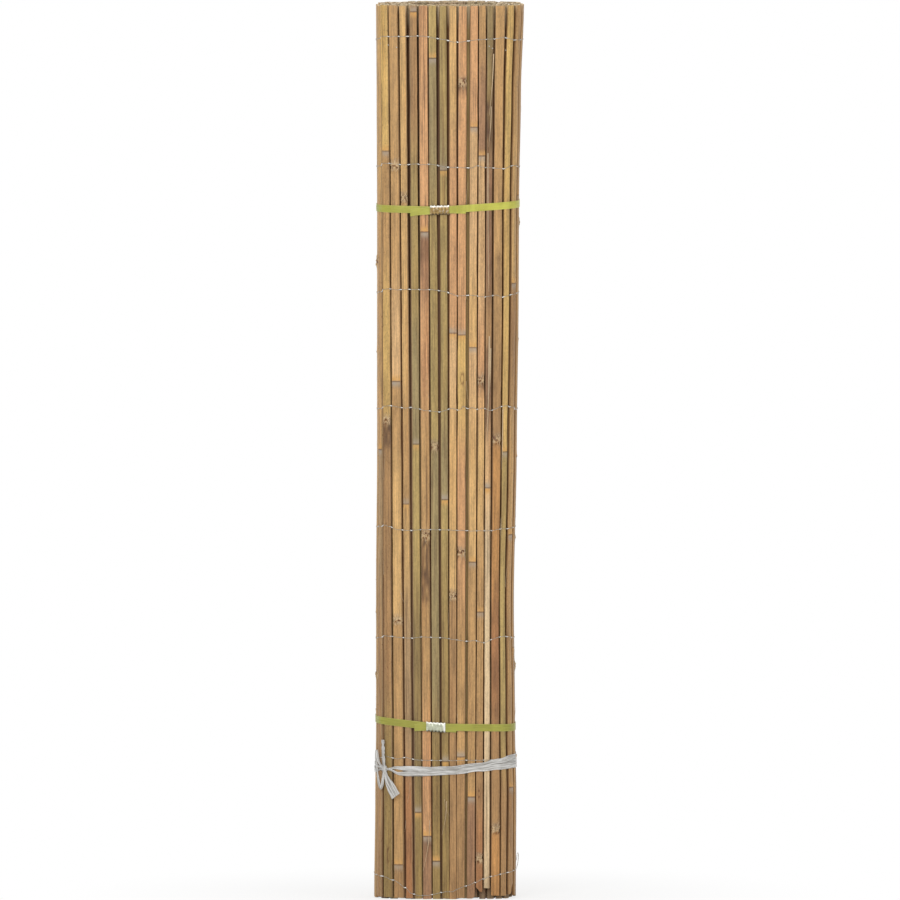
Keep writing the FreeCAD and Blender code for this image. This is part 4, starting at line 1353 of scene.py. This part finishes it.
# Splinters that show plainly: front slat, from height, to height (mm), across from and to (shares),
# bow (mm), girth
SPLINTERS = (
    (6, 133.0, 48.0, 0.35, -0.45, 2.5, 2.6), (3, 520.0, 495.0, 0.3, 0.95, 3.0, 1.2),
    (3, 515.0, 488.0, 0.45, 0.1, 2.5, 1.2), (15, 823.0, 722.0, -0.5, -0.7, 2.0, 2.8),
    (10, 870.0, 838.0, 0.5, 0.75, 2.5, 1.2), (2, 200.0, 172.0, 0.1, 0.6, 2.5, 1.0),
    (4, 196.0, 160.0, 0.2, -0.3, 2.5, 1.2), (7, 770.0, 735.0, -0.2, 0.35, 1.6, 1.0),
    (12, 885.0, 850.0, 0.2, -0.2, 1.6, 1.2), (13, 1418.0, 1315.0, 0.55, -0.1, 1.6, 3.4),
    (13, 1252.0, 1020.0, -0.25, -0.05, 0.6, 4.2), (13, 1330.0, 1262.0, 0.25, -0.15, 1.0, 3.0),
    (13, 945.0, 770.0, 0.1, -0.25, 1.2, 5.0), (13, 925.0, 850.0, 0.35, 0.15, 1.8, 3.6),
    (15, 640.0, 610.0, -0.62, -0.35, 2.6, 1.4), (15, 632.0, 604.0, -0.6, -0.8, 2.2, 1.4),
    (8, 165.0, 108.0, 0.2, -0.5, 1.2, 2.2), (8, 168.0, 140.0, -0.1, 0.55, 2.0, 1.2),
    (10, 1012.0, 990.0, 0.5, -0.1, 1.6, 1.0),
)
# Fibres scattered over the whole roll, and at each frayed knot
SCATTERED, AT_KNOT = 70, 14


def build_fibres(looks, shape):
    """Splinters and loose fibres that lift off the split edges."""
    chance = random.Random(FIBRE_DRAW)
    wanted = [(front_bar(slat), *rest) for slat, *rest in SPLINTERS]
    names = [name for name in SLAT_NAMES if name not in COVERED]
    for _ in range(SCATTERED):
        bar = BARS[chance.choice(names)]
        foot = chance.uniform(0.05, 0.93) * HEIGHT / MM
        reach = chance.uniform(12.0, 46.0) * chance.choice((-1.0, 1.0))
        edge = chance.choice((-0.46, 0.46))
        side = edge + chance.uniform(-0.35, 0.35)
        wanted.append((bar, foot, foot + reach, edge, side, chance.uniform(0.4, 2.0), 1.0))
    for slat, place in FRAYED:
        for _ in range(AT_KNOT):
            foot = place * HEIGHT / MM + chance.uniform(-6.0, 5.0)
            reach = chance.uniform(3.0, 11.0) * chance.choice((-1.0, 1.0))
            edge = chance.uniform(-0.45, 0.45)
            side = max(-0.5, min(0.5, edge + chance.uniform(-0.25, 0.25)))
            wanted.append((front_bar(slat), foot, foot + reach, edge, side, chance.uniform(0.8, 2.6),
                           chance.uniform(1.0, 2.4)))
    lines = []
    for bar, start, stop, first, last, bow, girth in wanted:
        points = []
        for t in (0.0, 0.25, 0.5, 0.75, 1.0):
            z = (start + (stop - start) * t) * MM
            u = first + (last - first) * t * t
            skin = bar.thick - shape.rise * min(1.0, (2.0 * u) ** 2)
            lift = bow * MM * t * t + 0.0001
            points.append((waisted(bar.at(u * bar.width, skin + lift, z)), girth * (1.4 - 1.1 * t)))
        lines.append(points)
    return stranded("stray_fibres", lines, looks.fibre_radius, 0, fibre_material(looks), ())


# Lamps: name, place (m), power by its name in the looks, size (m)
LAMPS = (("key_lamp", (-1.6, -4.0, 2.6), "key", 2.2), ("fill_lamp", (3.2, -2.6, 1.6), "fill", 2.4),
         ("back_lamp", (0.6, 4.2, 2.4), "fill", 2.6), ("top_lamp", (0.0, 0.3, 4.2), "fill", 1.2))
# Point that the lamps face, height that the camera faces, width of its sensor (mm)
LAMP_AIM = Vector((0.0, 0.0, 0.75))
VIEW_HEIGHT = 0.7486
SENSOR = 36.0


def build_stage(studio):
    """Pale floor, white surround, soft lamps and the camera."""
    scene = bpy.context.scene
    bm = bmesh.new()
    bmesh.ops.create_circle(bm, cap_ends=True, cap_tris=True, segments=64, radius=30.0)
    for vert in bm.verts:
        vert.co.z = -0.0002
    mesh = bpy.data.meshes.new("studio_floor")
    bm.to_mesh(mesh)
    bm.free()
    mesh.materials.append(pale_floor(studio))
    linked("studio_floor", mesh)

    scene.world = bpy.data.worlds.new("White studio")
    scene.world.use_nodes = True
    graph = Graph(scene.world.node_tree)
    sky = graph.tree.nodes["Background"]
    graph.put(sky.inputs["Color"], (1.0, 1.0, 1.0))
    graph.put(sky.inputs["Strength"], graph.between(graph.seen(), 0.0, 1.0, studio.ambient, 1.0))

    for name, place, power, size in LAMPS:
        lamp = bpy.data.lights.new(name, "AREA")
        lamp.energy = getattr(studio, power)
        lamp.size = size
        holder = linked(name, lamp)
        holder.location = place
        holder.rotation_euler = (LAMP_AIM - Vector(place)).to_track_quat("-Z", "Y").to_euler()

    camera = bpy.data.cameras.new("camera")
    camera.sensor_width = SENSOR
    camera.lens = SENSOR * studio.distance / studio.frame_height
    camera.clip_end = 200.0
    scene.camera = linked("camera", camera)
    away = Vector((0.0, -math.cos(studio.elevation), math.sin(studio.elevation)))
    scene.camera.location = Vector((studio.side_shift, 0.0, VIEW_HEIGHT)) + away * studio.distance
    scene.camera.rotation_euler = (math.pi / 2.0 - studio.elevation, 0.0, 0.0)
    scene.view_settings.view_transform = "Standard"


class ROLL_OT_stage(bpy.types.Operator):
    """Lay the floor and set the lamps and the camera"""
    bl_idname = "roll.stage"
    bl_label = "Studio Stage"

    def execute(self, context):
        build_stage(context.scene.roll_studio)
        return {"FINISHED"}


class ROLL_OT_slats(bpy.types.Operator):
    """Build the slats of the outer turn"""
    bl_idname = "roll.slats"
    bl_label = "Outer Slats"

    def execute(self, context):
        for name in SLAT_NAMES:
            build_slat(name, context.scene.roll_finish, context.scene.roll_shape)
        return {"FINISHED"}


class ROLL_OT_core(bpy.types.Operator):
    """Build the slats of the inner turns"""
    bl_idname = "roll.core"
    bl_label = "Inner Slats"

    def execute(self, context):
        build_core(context.scene.roll_finish, context.scene.roll_shape)
        return {"FINISHED"}


class ROLL_OT_wires(bpy.types.Operator):
    """Build the twisted wire rows"""
    bl_idname = "roll.wires"
    bl_label = "Wire Rows"

    def execute(self, context):
        for name in WIRE_NAMES:
            build_wire(name, context.scene.roll_binding, context.scene.roll_shape)
        return {"FINISHED"}


class ROLL_OT_straps(bpy.types.Operator):
    """Build the two plastic straps"""
    bl_idname = "roll.straps"
    bl_label = "Straps"

    def execute(self, context):
        for which in STRAP_RUNS:
            build_strap(which, context.scene.roll_binding, context.scene.roll_shape)
        return {"FINISHED"}


class ROLL_OT_seals(bpy.types.Operator):
    """Build the crimped seals of the straps"""
    bl_idname = "roll.seals"
    bl_label = "Seals"

    def execute(self, context):
        for which in STRAP_RUNS:
            build_seal(which, context.scene.roll_binding)
        return {"FINISHED"}


class ROLL_OT_tape(bpy.types.Operator):
    """Build the knotted tie tape"""
    bl_idname = "roll.tape"
    bl_label = "Tie Tape"

    def execute(self, context):
        build_tape(context.scene.roll_binding, context.scene.roll_shape)
        return {"FINISHED"}


class ROLL_OT_fibres(bpy.types.Operator):
    """Add the splinters and stray fibres"""
    bl_idname = "roll.fibres"
    bl_label = "Stray Fibres"

    def execute(self, context):
        build_fibres(context.scene.roll_binding, context.scene.roll_shape)
        return {"FINISHED"}


OPERATORS = (ROLL_OT_stage, ROLL_OT_slats, ROLL_OT_core, ROLL_OT_wires, ROLL_OT_straps,
             ROLL_OT_seals, ROLL_OT_tape, ROLL_OT_fibres)
GROUPS = (("roll_finish", BambooFinish), ("roll_shape", BambooShape),
          ("roll_binding", BindingLooks), ("roll_studio", StudioLooks))


class ROLL_PT_panel(bpy.types.Panel):
    """Sizes, colours and building steps of the bamboo roll"""
    bl_idname = "ROLL_PT_panel"
    bl_label = "Bamboo Roll"
    bl_space_type = "VIEW_3D"
    bl_region_type = "UI"
    bl_category = "Bamboo Roll"

    def draw(self, context):
        for operator in OPERATORS:
            self.layout.operator(operator.bl_idname)
        for name, group in GROUPS:
            box = self.layout.box()
            for key in group.__annotations__:
                box.prop(getattr(context.scene, name), key)


CLASSES = tuple(group for _, group in GROUPS) + OPERATORS + (ROLL_PT_panel,)


def register():
    for item in CLASSES:
        bpy.utils.register_class(item)
    for name, group in GROUPS:
        setattr(bpy.types.Scene, name, bpy.props.PointerProperty(type=group))


def unregister():
    for name, _ in GROUPS:
        delattr(bpy.types.Scene, name)
    for item in reversed(CLASSES):
        bpy.utils.unregister_class(item)


def main():
    register()
    bpy.ops.roll.stage()
    bpy.ops.roll.slats()
    bpy.ops.roll.core()
    bpy.ops.roll.wires()
    bpy.ops.roll.straps()
    bpy.ops.roll.seals()
    bpy.ops.roll.tape()
    bpy.ops.roll.fibres()


if __name__ == "__main__":
    main()
